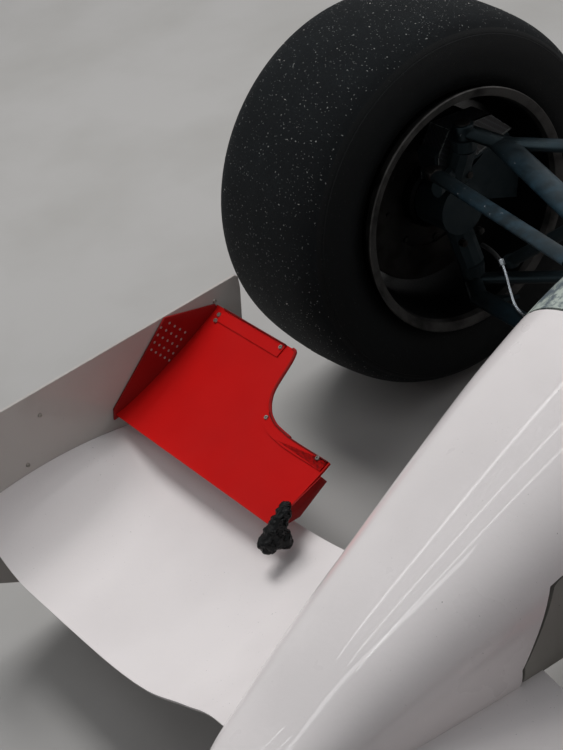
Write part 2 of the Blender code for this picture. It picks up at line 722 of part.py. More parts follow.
def make_rim(name, width, mat, hub_face):
    """Rim with its spokes, hub and brake disc; +X is the outer side."""
    rim = add(name, turned(rim_profile(width)), mat)
    face = width / 2 - SPOKE_INSET
    nose = [(face + reach, HUB_RADIUS * share) for reach, share in HUB_NOSE]
    hub = turned_solid([(hub_face, HUB_RADIUS)] + nose, 14)
    shape(rim, "UNION", hub)
    for i in range(SPOKES):
        angle = 2 * math.pi * i / SPOKES + SPOKE_TURN
        outward = Vector((0, math.cos(angle), math.sin(angle)))
        sideways = Vector((0, -math.sin(angle), math.cos(angle)))
        start = Vector((face, 0, 0)) + outward * HUB_RADIUS * 0.5
        end = Vector((face + SPOKE_DISH, 0, 0)) + outward * (BEAD_RADIUS - SPOKE_DROP)
        shape(rim, "UNION", bar(start, end, SPOKE_CHORD, SPOKE_THICKNESS, 6, sideways))
    disc_face = hub_face + DISC_OFFSET
    disc = turned_solid(((disc_face, DISC_RADIUS), (disc_face + DISC_THICKNESS, DISC_RADIUS)), 20)
    shape(rim, "UNION", disc)
    return rim


def make_wheels(hubs, mats):
    """Two meshes for each axle: the tyre and the rim, each shared by both sides."""
    for axle, radius, width, rim_width in (
            ("front", FRONT_TYRE_RADIUS, FRONT_TYRE_WIDTH, FRONT_RIM_WIDTH),
            ("rear", REAR_TYRE_RADIUS, REAR_TYRE_WIDTH, REAR_RIM_WIDTH)):
        tyre = add(axle + "_tyre_left", turned(tyre_profile(radius, width)), mats["rubber"])
        rim = make_rim(axle + "_rim_left", rim_width, mats["rim"], -HUB_FACE)
        for obj in (tyre, rim):
            finish(obj, hubs[axle, 1])
            twin = bpy.data.objects.new(obj.name.replace("left", "right"), obj.data)
            bpy.context.collection.objects.link(twin)
            twin.rotation_euler = (0, 0, math.pi)
            twin.parent = hubs[axle, -1]


def kingpin(upper, lower, side):
    return (mirrored(upper, side) - mirrored(lower, side)).normalized()


def wishbone(name, ball, inner_ends, pin, side, mat):
    """Two legs from the outer ball joint to the chassis, which trims their inner ends."""
    apex = mirrored(ball, side)
    obj = add(name, drum(apex, pin, BALL_RADIUS, BALL_HEIGHT), mat)
    for inner in inner_ends:
        shape(obj, "UNION", bar(apex, mirrored(inner, side), LEG_CHORD, LEG_THICKNESS))
    return obj


def pushrod(name, ends, side, mat):
    outer, inner = (mirrored(end, side) for end in ends)
    return add(name, bar(outer, inner, PUSHROD_WIDTH, PUSHROD_WIDTH, 10), mat)


def make_front_corner(side, word, root, steer, mats):
    """Links of one front wheel, and its upright with brake caliper and cooling duct."""
    pin = kingpin(FRONT_UPPER_BALL, FRONT_LOWER_BALL, side)
    links = (
        wishbone("front_upper_wishbone_" + word, FRONT_UPPER_BALL, FRONT_UPPER_INNER, pin,
                 side, mats["tube"]),
        wishbone("front_lower_wishbone_" + word, FRONT_LOWER_BALL, FRONT_LOWER_INNER, pin,
                 side, mats["tube"]),
        add("track_rod_" + word, bar(mirrored(TRACK_ROD_OUTER, side),
                                     mirrored(TRACK_ROD_INNER, side), TRACK_ROD_CHORD,
                                     TRACK_ROD_THICKNESS), mats["tube"]),
        pushrod("front_pushrod_" + word, FRONT_PUSHROD, side, mats["tube"]))
    for link in links:
        shape(link, "DIFFERENCE", tub_outer(GAP))
        finish(link, root)
    upright = make_upright("front_upright_" + word, FRONT_UPPER_BALL, FRONT_LOWER_BALL,
                           FRONT_HALF_TRACK, FRONT_AXLE_HEIGHT, 0.0, side, mats["tube"])
    rod_end = mirrored(TRACK_ROD_OUTER, side)
    pad = rod_end - Vector((0, 0, ROD_CLEARANCE))
    arm = bar(mirrored(STEERING_ARM, side), pad, ARM_CHORD, ARM_THICKNESS, 8,
              Vector((0, 0, 1)))
    inner, outer = ((FRONT_HALF_TRACK - inset) * side for inset in DUCT_INSET)
    shape(upright, "UNION", arm, prism(DUCT_OUTLINE, 0, inner, outer))
    upright.location = -steer.location
    finish(upright, steer)


def make_upright(name, upper, lower, track, axle_height, station, side, mat):
    """Upright between the ball joints, with the bearing boss and the caliper."""
    pin = kingpin(upper, lower, side)
    reach = BALL_HEIGHT / 2 + BALL_GAP + SEAT_HEIGHT / 2
    top = mirrored(upper, side) - pin * reach
    foot = mirrored(lower, side) + pin * reach
    face = (track - HUB_FACE) * side
    end = Vector((face - GAP * side, station, axle_height))
    body = add(name, bar(end - Vector((BOSS_LENGTH * side, 0, 0)), end, 2 * BOSS_RADIUS,
                         2 * BOSS_RADIUS, 20), mat)
    middle = end - Vector((BOSS_LENGTH / 2 * side, 0, 0))
    for seat, inward in ((top, -pin), (foot, pin)):
        shape(body, "UNION", drum(seat, pin, BALL_RADIUS + SOCKET_WALL, SEAT_HEIGHT))
        shape(body, "UNION", bar(seat + inward * SEAT_HEIGHT / 2, middle, POST_CHORD,
                                 POST_THICKNESS, 10))
    inner, outer = ((track - inset) * side for inset in CALIPER_INSET)
    caliper = add("caliper", prism(caliper_outline(station, axle_height, *CALIPER_RADII), 0,
                                   inner, outer))
    disc_face = track - HUB_FACE + DISC_OFFSET
    disc = [(disc_face - CALIPER_CLEARANCE) * side,
            (disc_face + DISC_THICKNESS + CALIPER_CLEARANCE) * side]
    slot = turned_solid([(x, DISC_RADIUS + CALIPER_CLEARANCE) for x in disc], 32)
    slot.transform(Matrix.Translation((0, station, axle_height)))
    shape(caliper, "DIFFERENCE", slot)
    bracket = prism(caliper_outline(station, axle_height, *BRACKET_RADII), 0, inner,
                    (track - HUB_FACE - BRACKET_CLEARANCE) * side)
    merged = bmesh.new()
    merged.from_mesh(caliper.data)
    bpy.data.objects.remove(caliper)
    shape(body, "UNION", bracket, merged)
    return body


def caliper_outline(station, axle_height, inner, outer):
    points = []
    for radius, angles in ((inner, CALIPER_ANGLES[::2]), (outer, CALIPER_ANGLES[::-1])):
        for degrees in angles:
            angle = math.radians(degrees)
            points.append((station - radius * math.cos(angle),
                           axle_height + radius * math.sin(angle)))
    return points


def make_rear_corner(side, word, root, mats):
    """Links, upright and driveshaft of one rear wheel."""
    pin = kingpin(REAR_UPPER_BALL, REAR_LOWER_BALL, side)
    links = (
        wishbone("rear_upper_wishbone_" + word, REAR_UPPER_BALL, REAR_UPPER_INNER, pin, side,
                 mats["tube"]),
        wishbone("rear_lower_wishbone_" + word, REAR_LOWER_BALL, REAR_LOWER_INNER, pin, side,
                 mats["tube"]),
        pushrod("rear_pushrod_" + word, REAR_PUSHROD, side, mats["tube"]))
    for link in links:
        shape(link, "DIFFERENCE", gearbox_body(GAP))
        finish(link, root)
    height = REAR_AXLE_HEIGHT
    upright = make_upright("rear_upright_" + word, REAR_UPPER_BALL, REAR_LOWER_BALL,
                           REAR_HALF_TRACK, height, WHEELBASE, side, mats["tube"])
    finish(upright, root)
    boss = REAR_HALF_TRACK - HUB_FACE - BOSS_LENGTH - 2 * GAP
    shaft = add("driveshaft_" + word,
                bar((boss * side, WHEELBASE, height), (SHAFT_INNER * side, WHEELBASE, height),
                    SHAFT_WIDTH, SHAFT_WIDTH), mats["steel"])
    shape(shaft, "UNION", drum((DRIVE_JOINT * side, WHEELBASE, height), (1, 0, 0),
                               DRIVE_JOINT_WIDTH, DRIVE_JOINT_LENGTH))
    shape(shaft, "DIFFERENCE", gearbox_body(GAP))
    finish(shaft, root)


def gearbox_body(grow=0.0):
    return loft(swept_rings(GEARBOX_SECTIONS, 9, grow, power=BOX_POWER, sides=20))


def pod_ring(share, side, grow=0.0, shrink=0.0):
    centre, reach, widest, top = blend(POD_SECTIONS, share)
    station = POD_FRONT + (POD_REAR - POD_FRONT) * share
    return ring(station, reach + grow - shrink, TUB_BOTTOM + shrink - grow, widest,
                top - shrink + grow, power=POD_POWER, sides=16, centre=centre * side)


def pod_body(side, grow=0.0):
    return loft([pod_ring(share, side, grow) for share in spread(0, 1, 8)])


def intake(side, shrink=0.0):
    """Air space of a sidepod, from ahead of its mouth to the radiator."""
    mouth = []
    for depth in (-INTAKE_LEAD, INTAKE_DEPTH - shrink):
        points = pod_ring(depth / (POD_REAR - POD_FRONT), side, shrink=INTAKE_WALL + shrink)
        for point in points:
            point.x = side * max(abs(point.x), INTAKE_INNER + shrink)
            point.y = POD_FRONT + depth
        mouth.append(points)
    return loft(mouth)


def make_sidepods(root, mats):
    """Sidepods cut clear of the tub and the engine bay, each with its radiator."""
    half, front = ENGINE_BAY_HALF_WIDTH, TUB_REAR + GAP
    rear = POD_REAR + ENGINE_BAY_LEAD
    bay = prism(((-half, front), (half, front), (half, rear), (-half, rear)), 2, 0.0,
                ENGINE_BAY_TOP)
    for side, word in ((1, "left"), (-1, "right")):
        pod = add("sidepod_" + word, pod_body(side), mats["white"])
        shape(pod, "DIFFERENCE", tub_outer(GAP), intake(side), bay.copy())
        finish(pod, root)
        core = add("radiator_" + word, intake(side, GAP), mats["steel"])
        ahead = POD_FRONT + INTAKE_DEPTH - RADIATOR_THICKNESS
        air = prism(((0, POD_FRONT - ENGINE_BAY_LEAD), (side, POD_FRONT - ENGINE_BAY_LEAD),
                     (side, ahead), (0, ahead)), 2, 0.0, ENGINE_BAY_TOP)
        shape(core, "DIFFERENCE", air)
        finish(core, root)
    bay.free()


def make_floor(root, mats):
    outline = list(FLOOR_EDGE) + [(-x, y) for x, y in FLOOR_EDGE[::-1]]
    floor = add("floor", prism(outline, 2, FLOOR_BOTTOM, FLOOR_BOTTOM + FLOOR_THICKNESS),
                mats["carbon"])
    half = DIFFUSER_HALF_WIDTH
    ramp = []
    for station, height in DIFFUSER_RISE:
        ramp.append([Vector((x, station, z)) for x, z in (
            (-half, height), (half, height), (half, height + FLOOR_THICKNESS),
            (-half, height + FLOOR_THICKNESS))])
    shape(floor, "UNION", loft(ramp))
    for x in STRAKE_PLACES:
        shape(floor, "UNION", prism(STRAKE_OUTLINE, 0, x - STRAKE_THICKNESS / 2,
                                    x + STRAKE_THICKNESS / 2))
    shape(floor, "DIFFERENCE", gearbox_body(GAP))
    finish(floor, root)


def engine_body(grow=0.0):
    outline = [(x + math.copysign(grow, x), z + math.copysign(grow, z - ENGINE_WIDEST))
               for x, z in ENGINE_OUTLINE]
    return prism(outline, 1, TUB_REAR + GAP - grow, GEARBOX_FRONT - GAP + grow)


def make_power_unit(root, mats):
    engine = add("engine_block", engine_body(), mats["steel"])
    finish(engine, root)
    gearbox = add("gearbox", gearbox_body(), mats["steel"])
    finish(gearbox, root)


def cover_ring(share, shrink=0.0, drop=0.0):
    width, bottom, widest, top = blend(COVER_SECTIONS, share)
    station = COVER_FRONT + (COVER_REAR - COVER_FRONT) * share
    return ring(station, width - shrink, bottom - drop, widest, top - shrink, sides=18)


def make_engine_cover(root, mats):
    cover = add("engine_cover", loft([cover_ring(share) for share in spread(0, 1, 9)]),
                mats["white"])
    shape(cover, "DIFFERENCE", tub_outer(GAP), pod_body(1, GAP), pod_body(-1, GAP))
    hollow = [cover_ring(share, COVER_WALL, COVER_CUT_DROP) for share in spread(*COVER_HOLLOW, 6)]
    scoop = [ring(station, *SCOOP, power=BOX_POWER, sides=16)
             for station in (COVER_FRONT - INTAKE_LEAD, COVER_FRONT + SCOOP_DEPTH)]
    shape(cover, "DIFFERENCE", loft(hollow), loft(scoop), gearbox_body(GAP))
    finish(cover, root)


def make_rear_wing(root, mats):
    inner = REAR_WING_HALF_SPAN
    for side, word in ((1, "left"), (-1, "right")):
        plate = prism(REAR_PLATE_OUTLINE, 0, inner * side,
                      (inner + REAR_PLATE_THICKNESS) * side)
        finish(add("rear_endplate_" + word, plate, mats["white"]), root)
    blades = [loft([foil_ring(x, *row) for x in (-inner + GAP, inner - GAP)])
              for row in REAR_BLADES]
    wing = add("rear_wing_planes", blades[0], mats["white"])
    shape(wing, "UNION", *blades[1:])
    rib = [(REAR_WING_FRONT + y, REAR_WING_HEIGHT + z) for y, z in RIB_OUTLINE]
    for x in (-RIB_PLACE, RIB_PLACE):
        shape(wing, "UNION", prism(rib, 0, x - RIB_THICKNESS / 2, x + RIB_THICKNESS / 2))
    finish(wing, root)
    pillar = [(REAR_WING_FRONT + y, z) for y, z in PILLAR_OUTLINE]
    support = add("rear_wing_pillar", prism(pillar, 0, -PILLAR_THICKNESS / 2,
                                            PILLAR_THICKNESS / 2), mats["carbon"])
    front, height, chord, tilt, thickness = REAR_BLADES[-1]
    blade = loft([foil_ring(x, front, height, chord, tilt, thickness + 2 * GAP)
                  for x in (-RIB_PLACE, RIB_PLACE)])
    shape(support, "DIFFERENCE", gearbox_body(GAP), blade)
    finish(support, root)


def foil_ring(x, front, height, chord, tilt, thickness):
    upper, lower = [], []
    steps = 8
    for i in range(steps + 1):
        share = 0.5 - 0.5 * math.cos(math.pi * i / steps)
        rise = tilt * chord * share ** 1.4
        body = thickness * FOIL_FULLNESS * math.sqrt(share) * (1 - share) + BLADE_TAIL
        station = front + chord * share
        upper.append(Vector((x, station, height + rise)))
        lower.append(Vector((x, station, height + rise - body)))
    return upper + lower[::-1]


def make_cockpit(root, wheel_holder, mats):
    seat_rings = []
    for station, low, half in SEAT_SECTIONS:
        points = [Vector((half * share, station, low + lift)) for share, lift in SEAT_PROFILE]
        back = [Vector((p.x * SEAT_BACK_TAPER, p.y - SEAT_BACK_LEAN, p.z + SEAT_THICKNESS))
                for p in points[::-1]]
        seat_rings.append(points + back)
    seat = add("seat", loft(seat_rings), mats["pad"])
    shape(seat, "INTERSECT", tub_cavity(-GAP))
    finish(seat, root)
    back = COVER_FRONT - GAP
    rest = [(x, back - y) for x, y in HEADREST_OUTLINE]
    head = add("headrest", prism(rest, 2, *HEADREST_HEIGHTS), mats["pad"])
    shape(head, "DIFFERENCE", tub_outer(GAP))
    finish(head, root)
    rim = add("steering_wheel", steering_rim(), mats["carbon"])
    hub = drum((0, WHEEL_HUB_PLACE, 0), (0, 1, 0), WHEEL_HUB_RADIUS, WHEEL_HUB_LENGTH, 20)
    shape(rim, "UNION", hub, prism(WHEEL_PLATE, 1, *WHEEL_PLATE_DEPTHS))
    finish(rim, wheel_holder)
    column = add("steering_column", bar((0, 0, 0), (0, -COLUMN_LENGTH, 0), COLUMN_WIDTH,
                                       COLUMN_WIDTH, along=Vector((1, 0, 0))), mats["steel"])
    column.location = (0, -COLUMN_START, 0)
    finish(column, wheel_holder)


def make_dash(root, mats):
    """Bulkhead under the tub's top skin, with the bearing boss of the steering column."""
    along = Vector((0, -math.cos(COLUMN_RAKE), -math.sin(COLUMN_RAKE)))
    top = Vector((0, STEERING_WHEEL_STATION, STEERING_WHEEL_HEIGHT))
    seat = top + along * (COLUMN_LENGTH + COLUMN_START + GAP)
    boss_end = seat + along * COLUMN_BOSS_LENGTH
    rear = boss_end.y + DASH_THICKNESS
    slab = ((-0.5, 0), (0.5, 0), (0.5, 1), (-0.5, 1))
    dash = add("dash_bulkhead", prism(slab, 1, boss_end.y, rear), mats["carbon"])
    shape(dash, "INTERSECT", tub_cavity(-GAP))
    half, low, high = LEG_HOLE
    hole = ((-half, low), (half, low), (half, high), (-half, high))
    shape(dash, "DIFFERENCE", prism(hole, 1, boss_end.y - CUT_MARGIN, rear + CUT_MARGIN))
    shape(dash, "UNION", bar(seat, boss_end + along * CUT_MARGIN, COLUMN_BOSS_WIDTH,
                             COLUMN_BOSS_WIDTH, 14, Vector((1, 0, 0))))
    finish(dash, root)


def steering_rim():
    rings = []
    count = 20
    bm = bmesh.new()
    for i in range(count):
        angle = 2 * math.pi * i / count
        squash = WHEEL_SQUASH_BELOW if math.sin(angle) < 0 else WHEEL_SQUASH_ABOVE
        centre = Vector((STEERING_WHEEL_RADIUS * math.cos(angle), 0,
                         STEERING_WHEEL_RADIUS * squash * math.sin(angle)))
        outward = Vector((math.cos(angle), 0, math.sin(angle)))
        turns = [2 * math.pi * j / 6 for j in range(6)]
        rings.append([bm.verts.new(centre + outward * GRIP_RADIUS * math.cos(turn)
                                   + Vector((0, GRIP_RADIUS * math.sin(turn), 0)))
                      for turn in turns])
    for i in range(count):
        near, far = rings[i], rings[(i + 1) % count]
        for j in range(6):
            k = (j + 1) % 6
            bm.faces.new((near[j], near[k], far[k], far[j]))
    bmesh.ops.recalc_face_normals(bm, faces=bm.faces)
    return bm


def make_mirrors(root, mats):
    for side, word in ((1, "left"), (-1, "right")):
        place = mirrored(MIRROR_PLACE, side)
        faces = []
        for (half, rise), offset in ((MIRROR_FRONT, -0.5), (MIRROR_REAR, 0.5)):
            faces.append(ring(place.y + offset * MIRROR_DEPTH, half, place.z - rise, place.z,
                              place.z + rise, sides=16, centre=place.x))
        mirror = add("mirror_" + word, loft(faces), mats["white"])
        stalk = bar(place - Vector((STALK_INSET * side, 0, 0)), mirrored(STALK_FOOT, side),
                    STALK_CHORD, STALK_THICKNESS, 8)
        shape(mirror, "UNION", stalk)
        shape(mirror, "DIFFERENCE", tub_outer(GAP))
        finish(mirror, root)


def make_exhaust(root, mats):
    pipe = add("exhaust", bar(EXHAUST_PATH[0], EXHAUST_PATH[1], EXHAUST_WIDTH, EXHAUST_WIDTH),
               mats["steel"])
    for start, end in zip(EXHAUST_PATH[1:], EXHAUST_PATH[2:]):
        shape(pipe, "UNION", bar(start, end, EXHAUST_WIDTH, EXHAUST_WIDTH))
        shape(pipe, "UNION", drum(start, (0, 0, 1), EXHAUST_WIDTH * 0.49, EXHAUST_WIDTH * 0.7))
    shape(pipe, "DIFFERENCE", engine_body(GAP))
    finish(pipe, root)


def make_brake_lines(root, mats):
    """Braided hose from the upright to the lower wishbone, and along it to the tub."""
    for side, word in ((1, "left"), (-1, "right")):
        curve = bpy.data.curves.new("front_brake_line_" + word, "CURVE")
        curve.dimensions = "3D"
        curve.bevel_depth = HOSE_RADIUS
        curve.bevel_resolution = 1
        curve.use_fill_caps = True
        points = [mirrored((FRONT_HALF_TRACK - inset, station, height), side)
                  for inset, station, height in HOSE_ROUTE]
        ball, inner = Vector(FRONT_LOWER_BALL), Vector(FRONT_LOWER_INNER[0])
        lift = Vector((0, 0, LEG_THICKNESS / 2 + HOSE_RADIUS + 2 * GAP))
        points += [mirrored(ball.lerp(inner, share) + lift, side) for share in HOSE_SHARES]
        smooth = []
        for i in range(len(points) - 1):
            before, after = points[max(i - 1, 0)], points[min(i + 2, len(points) - 1)]
            for step in range(HOSE_STEPS):
                t = step / HOSE_STEPS
                a, b = points[i], points[i + 1]
                smooth.append(0.5 * (2 * a + (b - before) * t
                                     + (2 * before - 5 * a + 4 * b - after) * t ** 2
                                     + (3 * a - before - 3 * b + after) * t ** 3))
        smooth.append(points[-1])
        spline = curve.splines.new("POLY")
        spline.points.add(len(smooth) - 1)
        for point, place in zip(spline.points, smooth):
            point.co = (*place, 1.0)
        hose = bpy.data.objects.new(curve.name, curve)
        curve.materials.append(mats["steel"])
        bpy.context.collection.objects.link(hose)
        hose.parent = root


def make_materials():
    return {
        "white": paint("gloss_white_paint", (0.80, 0.79, 0.78), 0.22),
        "red": paint("gloss_red_paint", (0.52, 0.012, 0.010), 0.30),
        "rubber": paint("slick_rubber", (0.018, 0.018, 0.020), 0.75),
        "rim": paint("dark_magnesium", (0.030, 0.032, 0.035), 0.45, 0.7),
        "tube": paint("satin_black_steel", (0.025, 0.030, 0.038), 0.38, 0.3),
        "steel": paint("brushed_steel", (0.42, 0.42, 0.42), 0.40, 0.9),
        "carbon": paint("woven_carbon", (0.028, 0.028, 0.030), 0.35),
        "pad": paint("black_foam", (0.030, 0.030, 0.032), 0.85),
    }


def main():
    for obj in list(bpy.data.objects):
        bpy.data.objects.remove(obj)
    mats = make_materials()
    root = empty("car", (0, ORIGIN_SHIFT, 0))
    hubs = {}
    steers = {}
    for side, word in ((1, "left"), (-1, "right")):
        upper, lower = mirrored(FRONT_UPPER_BALL, side), mirrored(FRONT_LOWER_BALL, side)
        steers[side] = empty("steer_axis_" + word, lower, root)
        centre = Vector((FRONT_HALF_TRACK * side, 0, FRONT_AXLE_HEIGHT))
        hubs["front", side] = empty("front_hub_" + word, centre - lower, steers[side])
        hubs["rear", side] = empty("rear_hub_" + word,
                                   (REAR_HALF_TRACK * side, WHEELBASE, REAR_AXLE_HEIGHT), root)
    wheel_holder = empty("steering_axis", (0, STEERING_WHEEL_STATION, STEERING_WHEEL_HEIGHT),
                         root)
    wheel_holder.rotation_euler = (COLUMN_RAKE, 0, 0)
    make_nose(root, mats)
    make_tub(root, mats)
    make_front_wing(root, mats)
    make_wheels(hubs, mats)
    for side, word in ((1, "left"), (-1, "right")):
        make_front_corner(side, word, root, steers[side], mats)
        make_rear_corner(side, word, root, mats)
    make_floor(root, mats)
    make_sidepods(root, mats)
    make_power_unit(root, mats)
    make_engine_cover(root, mats)
    make_rear_wing(root, mats)
    make_cockpit(root, wheel_holder, mats)
    make_dash(root, mats)
    make_mirrors(root, mats)
    make_exhaust(root, mats)
    make_brake_lines(root, mats)


main()
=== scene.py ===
# Open wheel racing car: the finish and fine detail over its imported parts.
# Metres, Z up, nose along -Y, the car's left side along +X.
import math
import random

import bmesh
import bpy
from mathutils import Matrix, Vector


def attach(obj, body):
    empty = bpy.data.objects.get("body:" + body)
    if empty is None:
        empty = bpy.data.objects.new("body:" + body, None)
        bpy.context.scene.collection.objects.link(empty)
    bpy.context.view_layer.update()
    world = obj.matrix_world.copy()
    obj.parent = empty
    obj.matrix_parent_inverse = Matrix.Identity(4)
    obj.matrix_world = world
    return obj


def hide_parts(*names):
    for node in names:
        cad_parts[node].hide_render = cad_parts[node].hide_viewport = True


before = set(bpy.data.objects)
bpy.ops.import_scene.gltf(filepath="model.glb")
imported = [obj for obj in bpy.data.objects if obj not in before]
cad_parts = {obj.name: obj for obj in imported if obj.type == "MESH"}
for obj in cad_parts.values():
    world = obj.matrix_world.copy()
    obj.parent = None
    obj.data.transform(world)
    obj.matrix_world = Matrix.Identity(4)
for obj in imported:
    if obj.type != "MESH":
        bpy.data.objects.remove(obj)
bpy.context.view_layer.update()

random.seed(7)
frontAxle, rearAxle = -1.28, 1.42  # world y of the axles; a station counts from the front axle
sides = (("left", 1), ("right", -1))
fullTurn = 2 * math.pi
upward, rearward = Vector((0, 0, 1)), Vector((0, 1, 0))


# materials: one function turns a hex colour linear, one adds a node
def linear(code):
    parts = [int(code[i:i + 2], 16) / 255 for i in (1, 3, 5)]
    return [p / 12.92 if p <= 0.04045 else ((p + 0.055) / 1.055) ** 2.4 for p in parts] + [1.0]


nodeKinds = {  # type, inputs in order, output, settings
    "coords": ("TexCoord", (), "Object", {}),
    "noise": ("TexNoise", ("Vector", "Scale", "Detail", "Roughness"), "Fac", {}),
    "bands": ("TexWave", ("Vector", "Scale", "Distortion"), "Fac",
              {"wave_type": "BANDS", "bands_direction": "DIAGONAL"}),
    "checks": ("TexChecker", ("Vector", "Scale"), "Fac", {}),
    "axes": ("SeparateXYZ", ("Vector",), "X", {}),
    "range": ("MapRange", ("Value", "From Min", "From Max", "To Min", "To Max"), "Result", {}),
    "mix": ("Mix", (0, 6, 7), 2, {"data_type": "RGBA"}),
    "math": ("Math", (0, 1), 0, {"operation": "MULTIPLY"}),
    "bump": ("Bump", ("Height", "Distance", "Strength"), 0, {}),
    "rounded": ("Bevel", ("Radius",), 0, {"samples": 6}),
    "flat": ("NewGeometry", (), "Normal", {}),
    "dot": ("VectorMath", (0, 1), "Value", {"operation": "DOT_PRODUCT"}),
    "rays": ("LightPath", (), "Is Camera Ray", {}),
    "background": ("Background", ("Strength",), 0, {}),
    "blend": ("MixShader", (0, 1, 2), 0, {}),
}


def addNode(mat, kind, *inputs, **settings):  # an input is a socket, a hex colour or a number
    typeName, slots, output, usual = nodeKinds[kind]
    made = mat.node_tree.nodes.new("ShaderNode" + typeName)
    for key, value in dict(usual, **settings).items():
        setattr(made, key, value)
    for slot, item in zip(slots, inputs):
        if isinstance(item, bpy.types.NodeSocket):
            mat.node_tree.links.new(item, made.inputs[slot])
        else:
            made.inputs[slot].default_value = linear(item) if isinstance(item, str) else item
    return made.outputs[output]


def newMaterial(name, colour, roughness, metallic=0.0, **extra):
    mat = bpy.data.materials.new(name)
    mat.use_nodes = True
    addNode(mat, "coords")
    for key, value in dict(extra, Base_Color=linear(colour), Roughness=roughness, Metallic=metallic).items():
        mat.node_tree.nodes["Principled BSDF"].inputs[key.replace("_", " ")].default_value = value
    return mat


def objectPlace(mat):
    return mat.node_tree.nodes["Texture Coordinate"].outputs["Object"]


def grain(mat, sizeMm, detail=3.0, rough=0.5):  # sizeMm is the width of one blotch
    return objectPlace(mat), 1000.0 / sizeMm, detail, rough


def patches(mat, sizeMm, low, high, detail=3.0, rough=0.5):  # 1 where the blotches rise
    return addNode(mat, "range", addNode(mat, "noise", *grain(mat, sizeMm, detail, rough)), low, high)


def wire(mat, **sources):
    for key, source in sources.items():
        mat.node_tree.links.new(source, mat.node_tree.nodes["Principled BSDF"].inputs[key.replace("_", " ")])


def overColour(mat, factor, colour):  # lays one more colour over the material's own
    base = mat.node_tree.nodes["Principled BSDF"].inputs["Base Color"].links[0].from_socket
    wire(mat, Base_Color=addNode(mat, "mix", factor, base, colour))


def wornEdges(mat, radius):  # 1 along sharp edges, where paint rubs off first
    turn = addNode(mat, "dot", addNode(mat, "rounded", radius), addNode(mat, "flat"))
    return addNode(mat, "range", turn, 0.900, 0.965, 1.0, 0.0)


def uneven(mat, pattern, roughness, less, more):  # roughness that follows a grain
    wire(mat, Roughness=addNode(mat, "range", pattern, 0.3, 0.7, roughness - less, roughness + more))


def sprayedPaint(name, top, shade, chip, roughness, chipSize, wear=0.0, coat=0.6):
    # sprayed two-pack paint on fibreglass: a glossy coat with slight orange peel, road film and stone chips
    mat = newMaterial(name, top, roughness, Coat_Weight=coat, Coat_Roughness=0.035,
                      Specular_IOR_Level=0.35 if coat > 0.3 else 0.16)
    chips = addNode(mat, "math", patches(mat, chipSize, 0.735, 0.755, 2, 0.6), patches(mat, 90, 0.46, 0.60, 2))
    if wear:
        rub = addNode(mat, "math", wornEdges(mat, wear), patches(mat, 9, 0.42, 0.58))
        chips = addNode(mat, "math", chips, rub, operation="MAXIMUM")
    filmed = addNode(mat, "mix", patches(mat, 260, 0.42, 0.72, 4), top, shade)
    wire(mat, Base_Color=addNode(mat, "mix", chips, filmed, chip))
    uneven(mat, addNode(mat, "noise", *grain(mat, 70, 4)), roughness, 0.0, 0.14)
    wire(mat, Normal=addNode(mat, "bump", addNode(mat, "noise", *grain(mat, 5, 2)), 0.0003, 0.25))
    return mat


def slickRubber(name, base, scuff, grit, roughness, grainMm):
    # moulded racing rubber: soft, matt, scuffed pale where it has run, with grit pressed in
    mat = newMaterial(name, base, roughness, Specular_IOR_Level=0.18)
    scuffs = addNode(mat, "math", patches(mat, 60, 0.40, 0.70, 5, 0.7), patches(mat, 4, 0.35, 0.7))
    specks = addNode(mat, "math", patches(mat, 2.6, 0.715, 0.74, 1, 0.4), grit)
    wire(mat, Base_Color=addNode(mat, "mix", specks, addNode(mat, "mix", scuffs, base, scuff), "#8d8e8c"))
    wire(mat, Normal=addNode(mat, "bump", addNode(mat, "noise", *grain(mat, grainMm, 6, 0.72)), 0.0009, 0.55))
    return mat


def bareMetal(name, colour, roughness, grainMm, dark=None, depth=0.0002, metallic=1.0):
    # machined, ground or cast metal: grain in its roughness and grime in random patches
    mat = newMaterial(name, colour, roughness, metallic)
    pattern = addNode(mat, "noise", *grain(mat, grainMm))
    wire(mat, Base_Color=addNode(mat, "mix", patches(mat, 40, 0.45, 0.7, 4), colour, dark or colour))
    uneven(mat, pattern, roughness, 0.06, 0.12)
    wire(mat, Normal=addNode(mat, "bump", pattern, depth, 0.4))
    return mat


def satinTube(name, base, sheen, roughness, chip="#8f9296"):
    # powder coated steel tube: satin, blue-black, rubbed through at its edges, with painted shade darkening it towards
    # the wheels
    mat = newMaterial(name, base, roughness, Specular_IOR_Level=0.55, Specular_Tint=linear("#b5d3df"))
    across = addNode(mat, "axes", objectPlace(mat))
    wheelShade = addNode(mat, "range", addNode(mat, "math", across, across), 0.13, 0.28)  # painted shade: darker towards the wheels, where the tyres shade the tubes
    coating = addNode(mat, "mix", patches(mat, 35, 0.42, 0.68, 5, 0.65), base, sheen)
    coating = addNode(mat, "mix", wheelShade, coating, "#080c0e")
    rub = addNode(mat, "math", patches(mat, 7, 0.69, 0.73, 3, 0.6), patches(mat, 70, 0.50, 0.56, 2))
    wire(mat, Base_Color=addNode(mat, "mix", rub, coating, chip))
    uneven(mat, addNode(mat, "noise", *grain(mat, 20)), roughness, 0.05, 0.12)
    wire(mat, Normal=addNode(mat, "bump", addNode(mat, "noise", *grain(mat, 3)), 0.0002, 0.3))
    return mat


def wovenCarbon(name, roughness, coat):
    # 2x2 twill in clear resin: tows run two ways and catch the light in turn; drawn a little coarse
    mat, towMm = newMaterial(name, "#1a1b1d", roughness, Coat_Weight=coat, Coat_Roughness=0.08), 2.4
    checks = addNode(mat, "checks", objectPlace(mat), 1000 / towMm)
    cloth = addNode(mat, "math", addNode(mat, "bands", objectPlace(mat), 1000 / (towMm * 6.2832), 0.4), checks)
    wire(mat, Base_Color=addNode(mat, "mix", cloth, "#101113", "#33363a"))
    wire(mat, Normal=addNode(mat, "bump", cloth, 0.0002, 0.3))
    return mat


